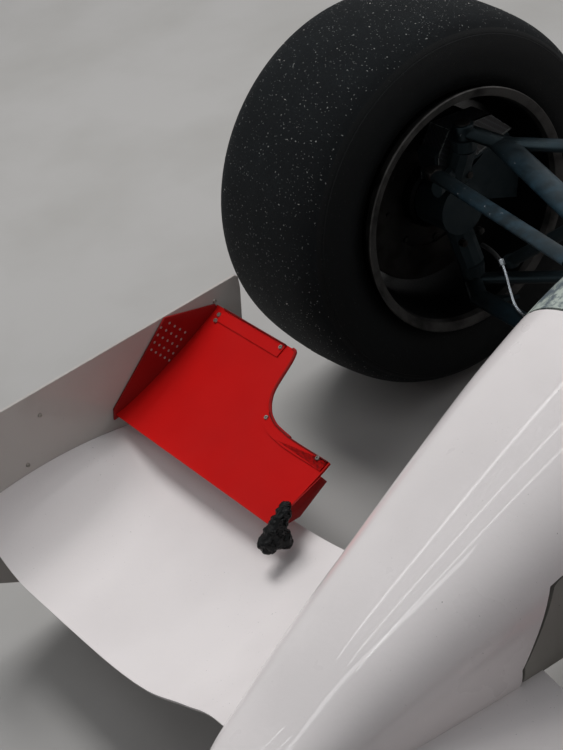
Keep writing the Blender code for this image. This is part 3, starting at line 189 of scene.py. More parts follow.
def grained(name, colour, roughness, sizeMm, detail, depth, strength, rough=0.5, metallic=0.0, **extra):
    mat = newMaterial(name, colour, roughness, metallic, **extra)  # one even colour with a fine grain
    wire(mat, Normal=addNode(mat, "bump", addNode(mat, "noise", *grain(mat, sizeMm, detail, rough)), depth, strength))
    return mat


# name, paint, road film, bare patch, roughness, width of a chip in mm, worn edge, coat
white = sprayedPaint("sprayedWhitePaint", "#e2dcdb", "#d6d0cf", "#5d5a58", 0.26, 2.2)
wingWhite = sprayedPaint("polishedOutWingWhite", "#e2dcdb", "#d6d0cf", "#5d5a58", 0.32, 2.2, coat=0.12)
# painted shade: the endplates' white paint is greyed to the shade their inner faces stand in
shadedPlateWhite = sprayedPaint("whitePaintGreyedForShade", "#aca6a1", "#9a938e", "#4b4643", 0.48, 2.4)
red = sprayedPaint("sprayedRedPaint", "#b40a08", "#a10807", "#8d3a30", 0.50, 1.6, 0.0009, 0.0)
stripRed = sprayedPaint("sprayedRedStrip", "#b40a08", "#a10807", "#8d3a30", 0.50, 1.6, 0.0, 0.0)
trimRed = sprayedPaint("sprayedRedTrim", "#6e0f0c", "#4f0c0a", "#2c1412", 0.52, 1.6, 0.0012, 0.0)
darkRed = sprayedPaint("rubbedRedPaint", "#8c0f0e", "#6f0b0b", "#3a0807", 0.46, 2.0, 0.0, 0.1)
primerGrey = sprayedPaint("flattedGreyPrimer", "#5f686d", "#4d565c", "#a9b3a9", 0.42, 9.0, 0.0015, 0.32)
panelGrey = sprayedPaint("brushedGreyPrimer", "#8e8c86", "#7c7a75", "#55534f", 0.55, 3.0, 0.0, 0.05)
ahead = addNode(primerGrey, "axes", objectPlace(primerGrey)).node.outputs["Y"]
rubbed = addNode(primerGrey, "math", patches(primerGrey, 24, 0.46, 0.56, 6, 0.75),
                 addNode(primerGrey, "range", ahead, -1.52, -1.44, 1.0, 0.0))
overColour(primerGrey, rubbed, "#a4ada5")  # rubbed pale in front of the pedals
# name, rubber, scuffs, grit, roughness, grain in mm
tread = slickRubber("runSlickRubber", "#0a0d0f", "#15191b", 0.80, 0.80, 2.2)
sidewall = slickRubber("mouldedSidewallRubber", "#030506", "#06080a", 0.06, 0.62, 1.5)
# name, metal, roughness, grain in mm, grime
magnesium = bareMetal("castMagnesium", "#121314", 0.55, 1.8, dark="#0a0b0c")
flange = bareMetal("scuffedRimFlange", "#4b4a49", 0.50, 2.4, dark="#171717")
# partly painted shade: the iron's own grey is darkened further to the deep shade inside the wheels
wheelShadeCastIron = bareMetal("groundCastIronShadeDark", "#343332", 0.42, 1.2, dark="#1f1b19")
zincSteel = bareMetal("zincPlatedSteel", "#a7a59f", 0.34, 0.9, dark="#77736c")
castAluminium = bareMetal("sandCastAluminium", "#8b8c8b", 0.50, 2.0, dark="#5c5c5b", depth=0.0004)
hotSteel = bareMetal("heatTintedSteel", "#8a7663", 0.33, 3.0, dark="#4f5d78")
braid = bareMetal("braidedSteelHose", "#b5bcc2", 0.30, 0.8, dark="#8a9095")
paleGrit = bareMetal("crushedStoneGrit", "#9a9792", 0.8, 1.0, metallic=0.0)
# name, coating, its paler parts, roughness, chips
tube = satinTube("powderCoatedTube", "#0f181d", "#1e323d", 0.33)
uprightBlack = satinTube("blackenedMagnesium", "#07090a", "#0e1113", 0.58, "#3c3f41")
carbon = wovenCarbon("wovenCarbon", 0.32, 0.6)
chippedCarbon = wovenCarbon("chippedDuctCarbon", 0.5, 0.1)
overColour(chippedCarbon, addNode(chippedCarbon, "math", wornEdges(chippedCarbon, 0.0012),
                                   patches(chippedCarbon, 8, 0.44, 0.56)), "#9aa09e")
darkGap = newMaterial("shadowGap", "#0b0c0d", 0.9)
# name, colour, roughness, then the grain: its width in mm, detail, depth and strength
edgeRubber = grained("extrudedEdgeRubber", "#101112", 0.6, 3, 3, 0.0003, 0.4)
blackTape = grained("glossyVinylTape", "#020304", 0.24, 5, 2, 0.0012, 0.5, Specular_IOR_Level=0.20)
frayedCarbon = grained("frayedCarbonResin", "#6e7472", 0.7, 2, 3, 0.0004, 0.6)
cockpitBlack = grained("mattBlackPaint", "#16181a", 0.7, 6, 4, 0.0006, 0.5)
redLens = grained("mouldedRedLens", "#8e0a0c", 0.15, 2, 2, 0.0003, 0.4, Transmission_Weight=0.4, IOR=1.49)
mirrorGlass = grained("silveredGlass", "#dfe4e6", 0.03, 60, 2, 0.0001, 0.1, metallic=1.0)
suede = grained("blackSuedeLeather", "#17181b", 0.92, 1.6, 4, 0.0006, 0.5, 0.7, Sheen_Weight=0.35, Sheen_Roughness=0.5)
wire(suede, Base_Color=addNode(suede, "mix", patches(suede, 30, 0.4, 0.7, 4), "#131417", "#232529"))
webbing = newMaterial("wovenPolyesterWebbing", "#8c1112", 0.7, Sheen_Weight=0.3)
weave = addNode(webbing, "bands", objectPlace(webbing), 150.0, 1.0)
wire(webbing, Base_Color=addNode(webbing, "mix", weave, "#6f0c0d", "#a31617"))
wire(webbing, Normal=addNode(webbing, "bump", weave, 0.0005, 0.6))
print("materials made:", len(bpy.data.materials))


# mesh helpers
def smoothRow(table, place):  # smooth row of a table of sections, never past its own values
    index = max(i for i in range(len(table) - 1) if i == 0 or place > table[i][0])
    before, after = table[index], table[index + 1]
    span = after[0] - before[0]
    t = min(max((place - before[0]) / span, 0.0), 1.0)

    def slope(row, column):
        rises = [(table[low + 1][column] - table[low][column]) / (table[low + 1][0] - table[low][0])
                 for low in (row - 1, row) if 0 <= low < len(table) - 1]
        if rises[0] * rises[-1] <= 0:
            return 0.0
        least = min(rises, key=abs)
        return math.copysign(min(abs(sum(rises) / len(rises)), 3 * abs(least)), least)

    return [(2 * t ** 3 - 3 * t ** 2 + 1) * before[c] + (t ** 3 - 2 * t ** 2 + t) * slope(index, c) * span
            + (3 * t ** 2 - 2 * t ** 3) * after[c] + (t ** 3 - t ** 2) * slope(index + 1, c) * span
            for c in range(1, len(before))]


def squared(value, power):  # a sine or cosine, drawn out towards a square
    return math.copysign(abs(value) ** power, value)


def onOval(row, station, turn, power=2.5, centre=0.0, grow=0.0):  # point of a section at a share of a turn
    half, bottom, widest, top = row
    across, rise = [squared(wave(fullTurn * turn), 2 / power) for wave in (math.cos, math.sin)]
    reach = (top - widest if rise > 0 else widest - bottom) + grow
    return Vector((centre + across * (half + grow), station, widest + rise * reach))


def chordShare(turn):  # over a blade and back below it, finer at both edges
    return 0.5 - 0.5 * math.cos(fullTurn * turn)


def around(count, start=0.0):  # angles evenly round a circle
    return [fullTurn * i / count + start for i in range(count)]


def gridSkin(bm, across, along, place):  # a grid whose points a rule places, from two shares
    for vert in bmesh.ops.create_grid(bm, x_segments=across, y_segments=along, size=1.0)["verts"]:
        vert.co = place((vert.co.x + 1) / 2, (vert.co.y + 1) / 2)


def faceOut(bm):
    bmesh.ops.recalc_face_normals(bm, faces=bm.faces)


def fillHoles(bm):
    bmesh.ops.holes_fill(bm, edges=[e for e in bm.edges if e.is_boundary], sides=0)
    faceOut(bm)


def closeSkin(bm):
    bmesh.ops.remove_doubles(bm, verts=bm.verts, dist=0.00002)
    fillHoles(bm)
    return bm


def skinned(across, along, place):  # a closed skin of its own
    bm = bmesh.new()
    gridSkin(bm, across, along, place)
    return closeSkin(bm)


def push(bm, faces, step):
    pushed = bmesh.ops.extrude_face_region(bm, geom=faces)["geom"]
    bmesh.ops.translate(bm, verts=[g for g in pushed if isinstance(g, bmesh.types.BMVert)], vec=step)


def sink(bm, face, rim, step):  # a pocket inside a rim
    bmesh.ops.inset_region(bm, faces=[face], thickness=rim, depth=0.0)
    push(bm, [face], step)
    bmesh.ops.delete(bm, geom=[face], context="FACES_ONLY")


def move(bm, matrix, verts=None):
    bmesh.ops.transform(bm, matrix=matrix, verts=verts or bm.verts)


def slab(bm, outline, axis, low, high):  # flat outline, pushed along an axis
    verts = []
    for point in outline:
        place = list(point)
        place.insert(axis, low)
        verts.append(bm.verts.new(place))
    step = Vector((0, 0, 0))
    step[axis] = high - low
    push(bm, [bm.faces.new(verts)], step)
    faceOut(bm)


def box(bm, low, high):  # block between two corners
    slab(bm, ((low[0], low[1]), (high[0], low[1]), (high[0], high[1]), (low[0], high[1])), 2, low[2], high[2])


def sidePlate(bm, outline, low, high):  # outline of stations and heights, between two places across
    slab(bm, [(y + frontAxle, z) for y, z in outline], 0, low, high)


def axes(start, end, along=(0, 1, 0)):  # matrix whose Z runs from start to end, from its middle
    start, end = Vector(start), Vector(end)
    run = end - start
    ahead = run.normalized()
    along = Vector(along)
    if abs(along.dot(ahead)) > 0.95:
        along = Vector((0, 0, 1)) if abs(ahead.z) < 0.9 else Vector((1, 0, 0))
    wide = (along - ahead * along.dot(ahead)).normalized()
    return Matrix((wide, ahead.cross(wide), ahead)).transposed().to_4x4(), (start + end) / 2, run.length


def bevelEdges(bm, edges, width, segments=2):
    bmesh.ops.bevel(bm, geom=edges, offset=width, offset_type="OFFSET", segments=segments, profile=0.5, affect="EDGES",
                    material=-1, clamp_overlap=True)


def bevelSharp(bm, width, segments=2, angle=0.6):
    edges = [e for e in bm.edges if len(e.link_faces) == 2 and e.calc_face_angle(0) > angle]
    bevelEdges(bm, edges, width, segments)


def rod(bm, start, end, wide, thin=None, along=(0, 1, 0), segments=24, taper=1.0, bevel=0.0):
    turn, middle, length = axes(start, end, along)
    size = Matrix.Diagonal((wide, thin or wide, length, 1))
    verts = bmesh.ops.create_cone(bm, cap_ends=True, segments=segments, radius1=0.5, radius2=0.5 * taper, depth=1.0,
                                  matrix=Matrix.Translation(middle) @ turn @ size)["verts"]
    if bevel:
        rims = {e for v in verts for e in v.link_edges if any(len(f.verts) > 4 for f in e.link_faces)}
        bevelEdges(bm, list(rims), bevel)


def pin(bm, middle, reach, wide, segments, bevel=0.0):  # a rod both ways from its middle
    rod(bm, middle - reach, middle + reach, wide, segments=segments, bevel=bevel)


def spun(bm, line, centre, steps):  # closed line of (along the axis, radius) about X through centre
    centre = Vector(centre)
    verts = [bm.verts.new(centre + Vector((a, 0, r))) for a, r in line]
    edges = [bm.edges.new(pair) for pair in zip(verts, verts[1:] + verts[:1])]
    bmesh.ops.spin(bm, geom=verts + edges, cent=centre, axis=(1, 0, 0), angle=fullTurn, steps=steps, use_merge=True)
    bmesh.ops.remove_doubles(bm, verts=bm.verts, dist=0.00001)
    faceOut(bm)


def curvedLine(points, steps):  # smooth line through points
    ends = [points[0], *points, points[-1]]
    made = []
    for corners in zip(ends, ends[1:], ends[2:], ends[3:]):
        for step in range(steps):
            t = step / steps
            made.append(tuple(0.5 * (2 * p + (q - o) * t + (2 * o - 5 * p + 4 * q - r) * t ** 2
                                     + (3 * p - o - 3 * q + r) * t ** 3) for o, p, q, r in zip(*corners)))
    return made + [tuple(points[-1])]


def pipe(bm, points, radius, segments, steps):  # round tube along a smooth line
    line = [Vector(p) for p in curvedLine([tuple(p) for p in points], steps)]
    rings = []
    for i, point in enumerate(line):
        ahead = (line[min(i + 1, len(line) - 1)] - line[max(i - 1, 0)]).normalized()
        turn, _, _ = axes(point, point + ahead, (0.3, 0.2, 0.93))
        place = Matrix.Translation(point) @ turn
        ring = bmesh.ops.create_circle(bm, segments=segments, radius=radius, matrix=place)["verts"]
        rings.append(list({e for v in ring for e in v.link_edges}))
    for near, far in zip(rings, rings[1:]):
        bmesh.ops.bridge_loops(bm, edges=near + far)
    fillHoles(bm)


def screw(bm, place, normal, size, height):  # button head with a hex socket
    place, normal = Vector(place), Vector(normal).normalized()
    turn, middle, _ = axes(place - normal * height * 0.3, place + normal * height, (0.2, 0.9, 0.3))
    new = bmesh.ops.create_cone(bm, cap_ends=True, segments=18, radius1=size, radius2=size * 0.82, depth=height * 1.3,
                                matrix=Matrix.Translation(middle) @ turn)["verts"]
    top = max((f for v in new for f in v.link_faces), key=lambda f: f.calc_center_median().dot(normal))
    sink(bm, top, size * 0.36, -normal * height * 0.7)


def asObject(bm, name):
    mesh = bpy.data.meshes.new(name)
    bm.to_mesh(mesh)
    bm.free()
    made = bpy.data.objects.new(name, mesh)
    bpy.context.collection.objects.link(made)
    return made


def asPiece(bm, name, mats, replaces=None, body="chassis", smoothAngle=35):
    piece = asObject(bm, name)
    for mat in mats if isinstance(mats, (list, tuple)) else [mats]:
        piece.data.materials.append(mat)
    piece.data.shade_smooth()
    piece.data.set_sharp_from_angle(angle=math.radians(smoothAngle))
    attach(piece, body)
    if replaces:
        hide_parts(replaces)
    return piece


def settle(piece):  # keeps the shape that a piece's modifiers give it
    done = bpy.data.meshes.new_from_object(piece.evaluated_get(bpy.context.evaluated_depsgraph_get()))
    piece.modifiers.clear()
    piece.data = done


def carve(piece, bm):  # cuts a mesh out of a piece and uses it up
    tool = asObject(bm, "cutter")
    step = piece.modifiers.new("cut", "BOOLEAN")
    step.operation, step.solver, step.object = "DIFFERENCE", "EXACT", tool
    settle(piece)
    piece.data.set_sharp_from_angle(angle=math.radians(35))
    bpy.data.objects.remove(tool)


# camera, floor and light
view = {"place": (1.165, -2.559, 1.546), "yaw": 1.0817, "pitch": 0.5958, "roll": -0.2649, "lens": 86.4}


def makeView():
    sinYaw, cosYaw = math.sin(view["yaw"]), math.cos(view["yaw"])
    ahead = Vector((-sinYaw * math.cos(view["pitch"]), cosYaw * math.cos(view["pitch"]), -math.sin(view["pitch"])))
    level = Vector((cosYaw, sinYaw, 0))
    up = level.cross(ahead)
    right = math.cos(view["roll"]) * level + math.sin(view["roll"]) * up
    up = -math.sin(view["roll"]) * level + math.cos(view["roll"]) * up
    data = bpy.data.cameras.new("photoCamera")
    data.lens, data.sensor_width, data.clip_start, data.clip_end = view["lens"], 36, 0.05, 100
    camera = bpy.data.objects.new("photoCamera", data)
    bpy.context.collection.objects.link(camera)
    camera.matrix_world = Matrix.Translation(view["place"]) @ Matrix((right, up, -ahead)).transposed().to_4x4()
    bpy.context.scene.camera = camera


lights = {  # place, target, size x, size y, watts, seen in reflections
    "overheadSoftbox": ((-2.0, -1.2, 3.4), (-0.3, -1.3, 0.2), 1.0, 2.4, 88, False),
    "nearStrip": ((-1.2, -3.6, 3.0), (0.0, -1.7, 0.3), 0.22, 3.0, 9, True),
    "rearSoftbox": ((1.2, 3.8, 3.2), (0.0, 1.2, 0.3), 3.0, 2.4, 55, True),
    "leftFill": ((4.2, 1.2, 2.4), (0.0, 0.6, 0.3), 3.0, 2.2, 10, True),
    "rightTube": ((-2.0, -1.0, 3.0), (-2.0, -1.0, 0.0), 0.06, 4.4, 5.0, True),
    "middleTube": ((-1.3, -1.0, 3.0), (-1.3, -1.0, 0.0), 0.06, 4.4, 5.0, True),
    "leftTube": ((-0.7, -1.0, 3.0), (-0.7, -1.0, 0.0), 0.06, 4.4, 5.0, True),
}
floorTone, worldTone, worldLevel = "#a5a3a1", "#dfe3e8", 0.26
paleLevel = 0.6  # pale surround, for the eye and for reflections alone


def makeLight(name, place, target, wide, high, watts, mirrored):
    data = bpy.data.lights.new(name, "AREA")
    data.shape, data.size, data.size_y, data.energy = "RECTANGLE", wide, high, watts
    lamp = bpy.data.objects.new(name, data)
    lamp.location, lamp.visible_glossy = place, mirrored
    lamp.rotation_euler = (Vector(target) - Vector(place)).to_track_quat("-Z", "Y").to_euler()
    bpy.context.collection.objects.link(lamp)


def makeWorld():
    world = bpy.data.worlds.new("softRoom")
    bpy.context.scene.world = world
    world.use_nodes = True
    nodes = world.node_tree.nodes
    sky = nodes["Background"]
    sky.inputs["Color"].default_value = linear(worldTone)
    sky.inputs["Strength"].default_value = worldLevel
    seen = addNode(world, "rays")
    rays = seen.node.outputs
    for ray in ("Is Glossy Ray", "Is Transmission Ray"):
        seen = addNode(world, "math", seen, rays[ray], operation="MAXIMUM")
    mixed = addNode(world, "blend", seen, sky.outputs[0], addNode(world, "background", paleLevel))
    world.node_tree.links.new(mixed, nodes["World Output"].inputs["Surface"])


def makeFloorPlane():
    bm = bmesh.new()
    bmesh.ops.create_grid(bm, x_segments=1, y_segments=1, size=14)
    floor = asObject(bm, "studioFloor")
    floor.location.z = -0.0005
    mat = newMaterial("paleConcrete", floorTone, 0.8)
    wire(mat, Base_Color=addNode(mat, "mix", patches(mat, 300, 0.4, 0.7, 5), floorTone, "#9d9b98"))
    floor.data.materials.append(mat)


makeView()
for name, values in lights.items():
    makeLight(name, *values)
makeWorld()
makeFloorPlane()
bpy.context.scene.view_settings.view_transform = "Standard"
print("camera and stage made")


# tyres, rims and discs
wheelSpec = {  # half track, axle y, tyre radius and width, rim width
    "front": (0.705, frontAxle, 0.27526, 0.244, 0.236),
    "rear": (0.690, rearAxle, 0.28321, 0.274, 0.266),
    "bead": 0.166, "flange": 0.179, "lip": 0.010, "spokes": 6, "steps": 144, "grit": 330,
}
treadRows = ((0.0115, 0.0225), (0.0200, 0.0150), (0.0340, 0.0086), (0.0540, 0.0043), (0.0850, 0.0014))  # inset, drop


def treadDrop(inset):
    rows = ((0.0, 0.0300),) + treadRows + ((0.14, 0.0),)
    before, after = next(pair for pair in zip(rows, rows[1:]) if inset <= pair[1][0])
    return before[1] + (after[1] - before[1]) * (inset - before[0]) / (after[0] - before[0])


def tyreLine(radius, width):
    half, bead = width / 2, wheelSpec["bead"]
    side = curvedLine([(half - 0.017, bead + 0.006), (half - 0.010, bead + 0.016), (half - 0.004, bead + 0.030),
                       (half - 0.0005, bead + 0.050), (half - 0.001, radius - 0.044),
                       (half - 0.0045, radius - 0.030)], 4)
    ledge = [(half - 0.0062, radius - 0.0292), (half - 0.0068, radius - 0.0270)]  # the mould's parting step
    crown = curvedLine([(half - inset, radius - drop) for inset, drop in treadRows] + [(0.0, radius)], 4)
    outer = side + ledge + crown
    inner = [(half - 0.052, radius - 0.016), (half - 0.016, bead + 0.060), (half - 0.034, bead + 0.006)]
    return outer + [(-a, r) for a, r in outer[-2::-1]] + [(-a, r) for a, r in inner[::-1]] + inner


def makeTyre(name, side, half, y, radius, width, body):
    bm = bmesh.new()
    spun(bm, tyreLine(radius, width), (half * side, y, radius), wheelSpec["steps"])
    for face in bm.faces:
        middle = face.calc_center_median()
        out = math.hypot(middle.y - y, middle.z - radius)
        face.material_index = 0 if out > radius - 0.0245 else 1
    asPiece(bm, name, [tread, sidewall], name, body)
    bm = bmesh.new()
    for _ in range(wheelSpec["grit"]):  # grit and pebbles picked up by the warm tread
        turn, across = random.uniform(0, fullTurn), random.uniform(-0.40, 0.40) * width
        size = random.choice((0.00055, 0.0006, 0.0008, 0.0008, 0.0011, 0.0016))
        out = radius - 0.0004 - treadDrop(width / 2 - abs(across))
        place = Vector((half * side + across, y + math.cos(turn) * out, radius + math.sin(turn) * out))
        if place.z < 0.03:
            continue
        shape = Matrix.Diagonal((size * random.uniform(0.7, 1.5), size * random.uniform(0.7, 1.5), size * 0.6, 1))
        bmesh.ops.create_icosphere(bm, subdivisions=1, radius=1.0,
                                   matrix=Matrix.Translation(place) @ Matrix.Rotation(turn, 4, "X") @ shape)
    asPiece(bm, name + "_grit", paleGrit, body=body, smoothAngle=80)


def rimLine(width):
    half, bead, out = width / 2, wheelSpec["bead"], wheelSpec["flange"]
    lip = half + wheelSpec["lip"]
    edge = [(half - 0.0005, out - 0.003), (half, out), (half - 0.0015, out + 0.0012), (half - 0.005, out + 0.0008),
            (half - 0.008, out - 0.004), (half - 0.010, bead + 0.002), (half - 0.036, bead),
            (half - 0.052, bead - 0.014)]
    back = [(-half + 0.050, bead - 0.012), (-half + 0.036, bead), (-half + 0.010, bead + 0.002),
            (-lip + 0.010, bead + 0.002), (-lip + 0.008, out - 0.007), (-lip + 0.005, out - 0.003),
            (-lip + 0.0015, out - 0.0026), (-lip, out - 0.004), (-lip + 0.0005, out - 0.0075),
            (-lip + 0.004, bead - 0.0030), (-lip + 0.013, bead - 0.0055), (-half + 0.030, bead - 0.008),
            (-half + 0.052, bead - 0.021)]
    front = [(half - 0.056, bead - 0.024), (half - 0.034, bead - 0.010), (half - 0.012, bead - 0.0055),
             (half - 0.004, bead - 0.0035)]
    return edge + back + front


def spoke(angle, out, along=0.0):  # a point at an angle round the wheel's axis
    return Vector((along, math.sin(angle) * out, math.cos(angle) * out))


def flipped(place, side):  # turns what is built for the left to face the car's other side
    return Matrix.Translation(place) @ Matrix.Rotation(0 if side > 0 else math.pi, 4, "Z")


def makeRim(name, side, half, y, radius, width, body):
    bm = bmesh.new()
    centre = Vector((half * side, y, radius))
    spun(bm, [(along * side, out) for along, out in rimLine(width)], centre, 112)
    made = set(bm.verts)
    face = width / 2 - 0.060
    hub = curvedLine([(-0.052, 0.030), (-0.050, 0.045), (-0.010, 0.046), (face - 0.006, 0.050), (face + 0.004, 0.060),
                      (face + 0.010, 0.057), (face + 0.013, 0.044)], 3)
    hub += [(face + 0.013, 0.034), (face + 0.006, 0.032), (face + 0.006, 0.001), (-0.050, 0.001)]
    spun(bm, hub, (0, 0, 0), 48)
    for angle in around(wheelSpec["spokes"], 0.07):  # forked spokes with a dished face
        for fork in (-1, 1):
            rod(bm, spoke(angle + fork * 0.10, 0.050, face - 0.002), spoke(angle + fork * 0.20, 0.147, face + 0.004),
                0.022, 0.018, (1, 0, 0), 12, 0.95)
        middle = spoke(angle, 0.052, face - 0.006)
        rod(bm, middle, middle + spoke(angle, 0.045, 0.004), 0.018, 0.030, (1, 0, 0), 10)
    flip = flipped(centre, side)
    move(bm, flip, [v for v in bm.verts if v not in made])
    faceOut(bm)
    for part in bm.faces:
        middle = part.calc_center_median() - centre
        atFlange = math.hypot(middle.y, middle.z) > wheelSpec["bead"] - 0.006 and abs(middle.x) > width / 2 - 0.016
        part.material_index = 1 if atFlange else 0
    asPiece(bm, name, [magnesium, flange], name, body)

    bm = bmesh.new()  # centre nut, its lock pin, drive pegs and the tyre valve
    nut = Matrix.Translation((face + 0.020, 0, 0)) @ Matrix.Rotation(math.pi / 2, 4, "Y")
    bmesh.ops.create_cone(bm, cap_ends=True, segments=6, radius1=0.030, radius2=0.030, depth=0.022, matrix=nut)
    bevelSharp(bm, 0.0012)
    rod(bm, (face + 0.004, 0, 0), (face + 0.040, 0, 0), 0.036, segments=32, bevel=0.0015)
    rod(bm, (face + 0.034, -0.024, 0), (face + 0.034, 0.024, 0), 0.004, segments=12)
    for angle in around(6, math.pi / 6):
        rod(bm, spoke(angle, 0.044, face + 0.006), spoke(angle, 0.044, face + 0.017), 0.011, segments=16, bevel=0.001)
    rod(bm, (face + 0.002, 0.030, 0.138), (face + 0.030, 0.031, 0.142), 0.007, segments=12, bevel=0.0008)
    move(bm, flip)
    asPiece(bm, name + "_nut", zincSteel, body=body)

    bm = bmesh.new()  # vented disc on its bell
    low, high, edge = -0.038, -0.020, 0.128
    spun(bm, [(low, 0.078), (low, edge - 0.001), (low + 0.001, edge), (low + 0.006, edge), (low + 0.006, 0.112),
              (high - 0.006, 0.112), (high - 0.006, edge), (high - 0.001, edge), (high, edge - 0.001), (high, 0.078)],
         (0, 0, 0), 72)
    spun(bm, [(low + 0.004, 0.044), (low + 0.004, 0.079), (high - 0.004, 0.079), (high - 0.004, 0.044)], (0, 0, 0), 48)
    middle = (low + high) / 2
    for angle in around(36):  # vanes
        rod(bm, spoke(angle, 0.108, middle), spoke(angle, 0.126, middle), 0.0065, 0.0025, (1, 0, 0), 6)
    for angle in around(8):  # bobbins
        rod(bm, spoke(angle, 0.072, low + 0.001), spoke(angle, 0.072, high - 0.001), 0.010, segments=12, bevel=0.0007)
    move(bm, flip)
    asPiece(bm, name.replace("rim", "disc"), wheelShadeCastIron, body=body)


for axle in ("front", "rear"):
    for word, side in sides:
        half, y, radius, width, rimWidth = wheelSpec[axle]
        makeTyre(axle + "_tyre_" + word, side, half, y, radius, width, axle + "_wheel_" + word)
        makeRim(axle + "_rim_" + word, side, half, y, radius, rimWidth, axle + "_wheel_" + word)
print("wheels made")


# nose, tub and front wing
hull = (  # station behind the front axle, half width, bottom, widest height, top
    (-0.860, 0.022, 0.226, 0.240, 0.254), (-0.832, 0.050, 0.208, 0.240, 0.270), (-0.760, 0.076, 0.203, 0.252, 0.298),
    (-0.680, 0.094, 0.202, 0.266, 0.337), (-0.580, 0.113, 0.202, 0.287, 0.377), (-0.470, 0.134, 0.203, 0.312, 0.418),
    (-0.350, 0.157, 0.200, 0.336, 0.458), (-0.220, 0.174, 0.192, 0.352, 0.494), (0.000, 0.190, 0.150, 0.350, 0.532),
    (0.350, 0.216, 0.090, 0.330, 0.568), (0.700, 0.252, 0.0593, 0.310, 0.604), (1.000, 0.290, 0.0593, 0.300, 0.588),
    (1.300, 0.318, 0.0593, 0.300, 0.604), (1.560, 0.322, 0.0593, 0.300, 0.660), (1.700, 0.318, 0.0593, 0.300, 0.660))
noseSpec = {"tip": -0.860, "joint": -0.2785, "seamGap": 0.005, "panelSink": 0.0022,
            "seam": ((-1.832, 0.10), (-1.8296, 0.2748), (-1.780, 0.3527), (-1.766, 0.3575), (-1.5, 0.372), (-1.5, 0.0))}

def hullSkin(front, rear, along, grow=0.0):
    def place(share, turn):
        station = front + (rear - front) * share
        return onOval(smoothRow(hull, station), station + frontAxle, turn, grow=grow)
    return skinned(along, 72, place)


tubEnds = (-0.2755, 1.700)
wingTable = (  # place across, height of the front edge and of the rear edge, bulge between them
    (0.000, 0.246, 0.252, 0.000), (0.095, 0.244, 0.250, 0.000), (0.170, 0.214, 0.229, -0.004),
    (0.270, 0.168, 0.209, -0.010), (0.400, 0.148, 0.203, -0.012), (0.560, 0.146, 0.203, -0.008),
    (0.620, 0.170, 0.203, 0.010), (0.660, 0.216, 0.201, 0.015))
wingSpec = {"front": -0.786, "chord": 0.266, "halfSpan": 0.6597, "thick": 0.020, "edge": 0.0026}


def wingPoint(share, turn):
    x = (2 * share - 1) * wingSpec["halfSpan"]
    front, rear, bulge = smoothRow(wingTable, abs(x))
    along = chordShare(turn)
    height = front + (rear - front) * along + bulge * 4 * along * (1 - along)
    if turn > 0.5:
        height -= wingSpec["thick"] * 2.6 * math.sqrt(along) * (1 - along) + wingSpec["edge"] * min(1.0, along * 60)
    return Vector((x, wingSpec["front"] + wingSpec["chord"] * along + frontAxle, height))


def makeNose():
    nose = asPiece(hullSkin(noseSpec["tip"], noseSpec["joint"], 56), "nose_cone_skin", white, "nose_cone")
    for side in (1, -1):  # the flank behind the wing belongs to a grey panel, set in under the nose
        bm = bmesh.new()
        slab(bm, noseSpec["seam"], 0, 0.030 * side, 0.30 * side)
        carve(nose, bm)
    panel = asPiece(hullSkin(-0.66, noseSpec["joint"], 36, -noseSpec["panelSink"]), "nose_box_panel", panelGrey)
    (y0, z0), (y1, z1), (y2, z2), (y3, z3) = noseSpec["seam"][1:5]
    gap, drop = noseSpec["seamGap"], 0.003
    bm = bmesh.new()
    slab(bm, ((-2.2, 0.0), (y0 + gap, 0.0), (y0 + gap, z0), (y1 + gap, z1 - drop), (y2, z2 - drop), (y3, z3 - drop),
              (y3, 0.7), (-2.2, 0.7)), 0, -0.4, 0.4)
    carve(panel, bm)
    # painted shadow: a dark block inside the nose box darkens the seam gap
    bm = bmesh.new()
    slab(bm, ((-1.83, 0.262), (-1.562, 0.240), (-1.562, 0.40), (-1.79, 0.340), (-1.83, 0.29)), 0, -0.098, 0.098)
    asPiece(bm, "nose_box_shadow_block", darkGap)


plateSpec = {
    "inner": 0.660, "thick": 0.005, "bevel": 0.0009, "head": 0.0032,
    "line": ((-0.850, 0.160), (-0.805, 0.300), (-0.765, 0.327), (-0.336, 0.327), (-0.332, 0.323), (-0.333, 0.306),
             (-0.345, 0.250), (-0.358, 0.110), (-0.382, 0.062), (-0.732, 0.062), (-0.850, 0.136)),
    "screws": ((-1.937, 0.293), (-1.975, 0.236), (-1.655, 0.3076), (-1.70, 0.205), (-1.90, 0.150), (-1.75, 0.178))}


def makeEndplates():
    inner, outer = plateSpec["inner"], plateSpec["inner"] + plateSpec["thick"]
    for word, side in sides:
        bm = bmesh.new()
        sidePlate(bm, plateSpec["line"], inner * side, outer * side)
        bevelSharp(bm, plateSpec["bevel"])
        asPiece(bm, "front_endplate_%s_skin" % word, shadedPlateWhite, "front_endplate_" + word)
        bm = bmesh.new()
        for y, z in plateSpec["screws"]:
            screw(bm, (inner * side, y, z), (-side, 0, 0), plateSpec["head"], 0.0012)
            screw(bm, ((outer - 0.0008) * side, y, z), (side, 0, 0), plateSpec["head"], 0.0006)
        asPiece(bm, "front_endplate_%s_screws" % word, zincSteel)


makeNose()
asPiece(skinned(120, 48, wingPoint), "front_wing_main_plane_skin", wingWhite, "front_wing_main_plane")
makeEndplates()
print("nose and wing made")


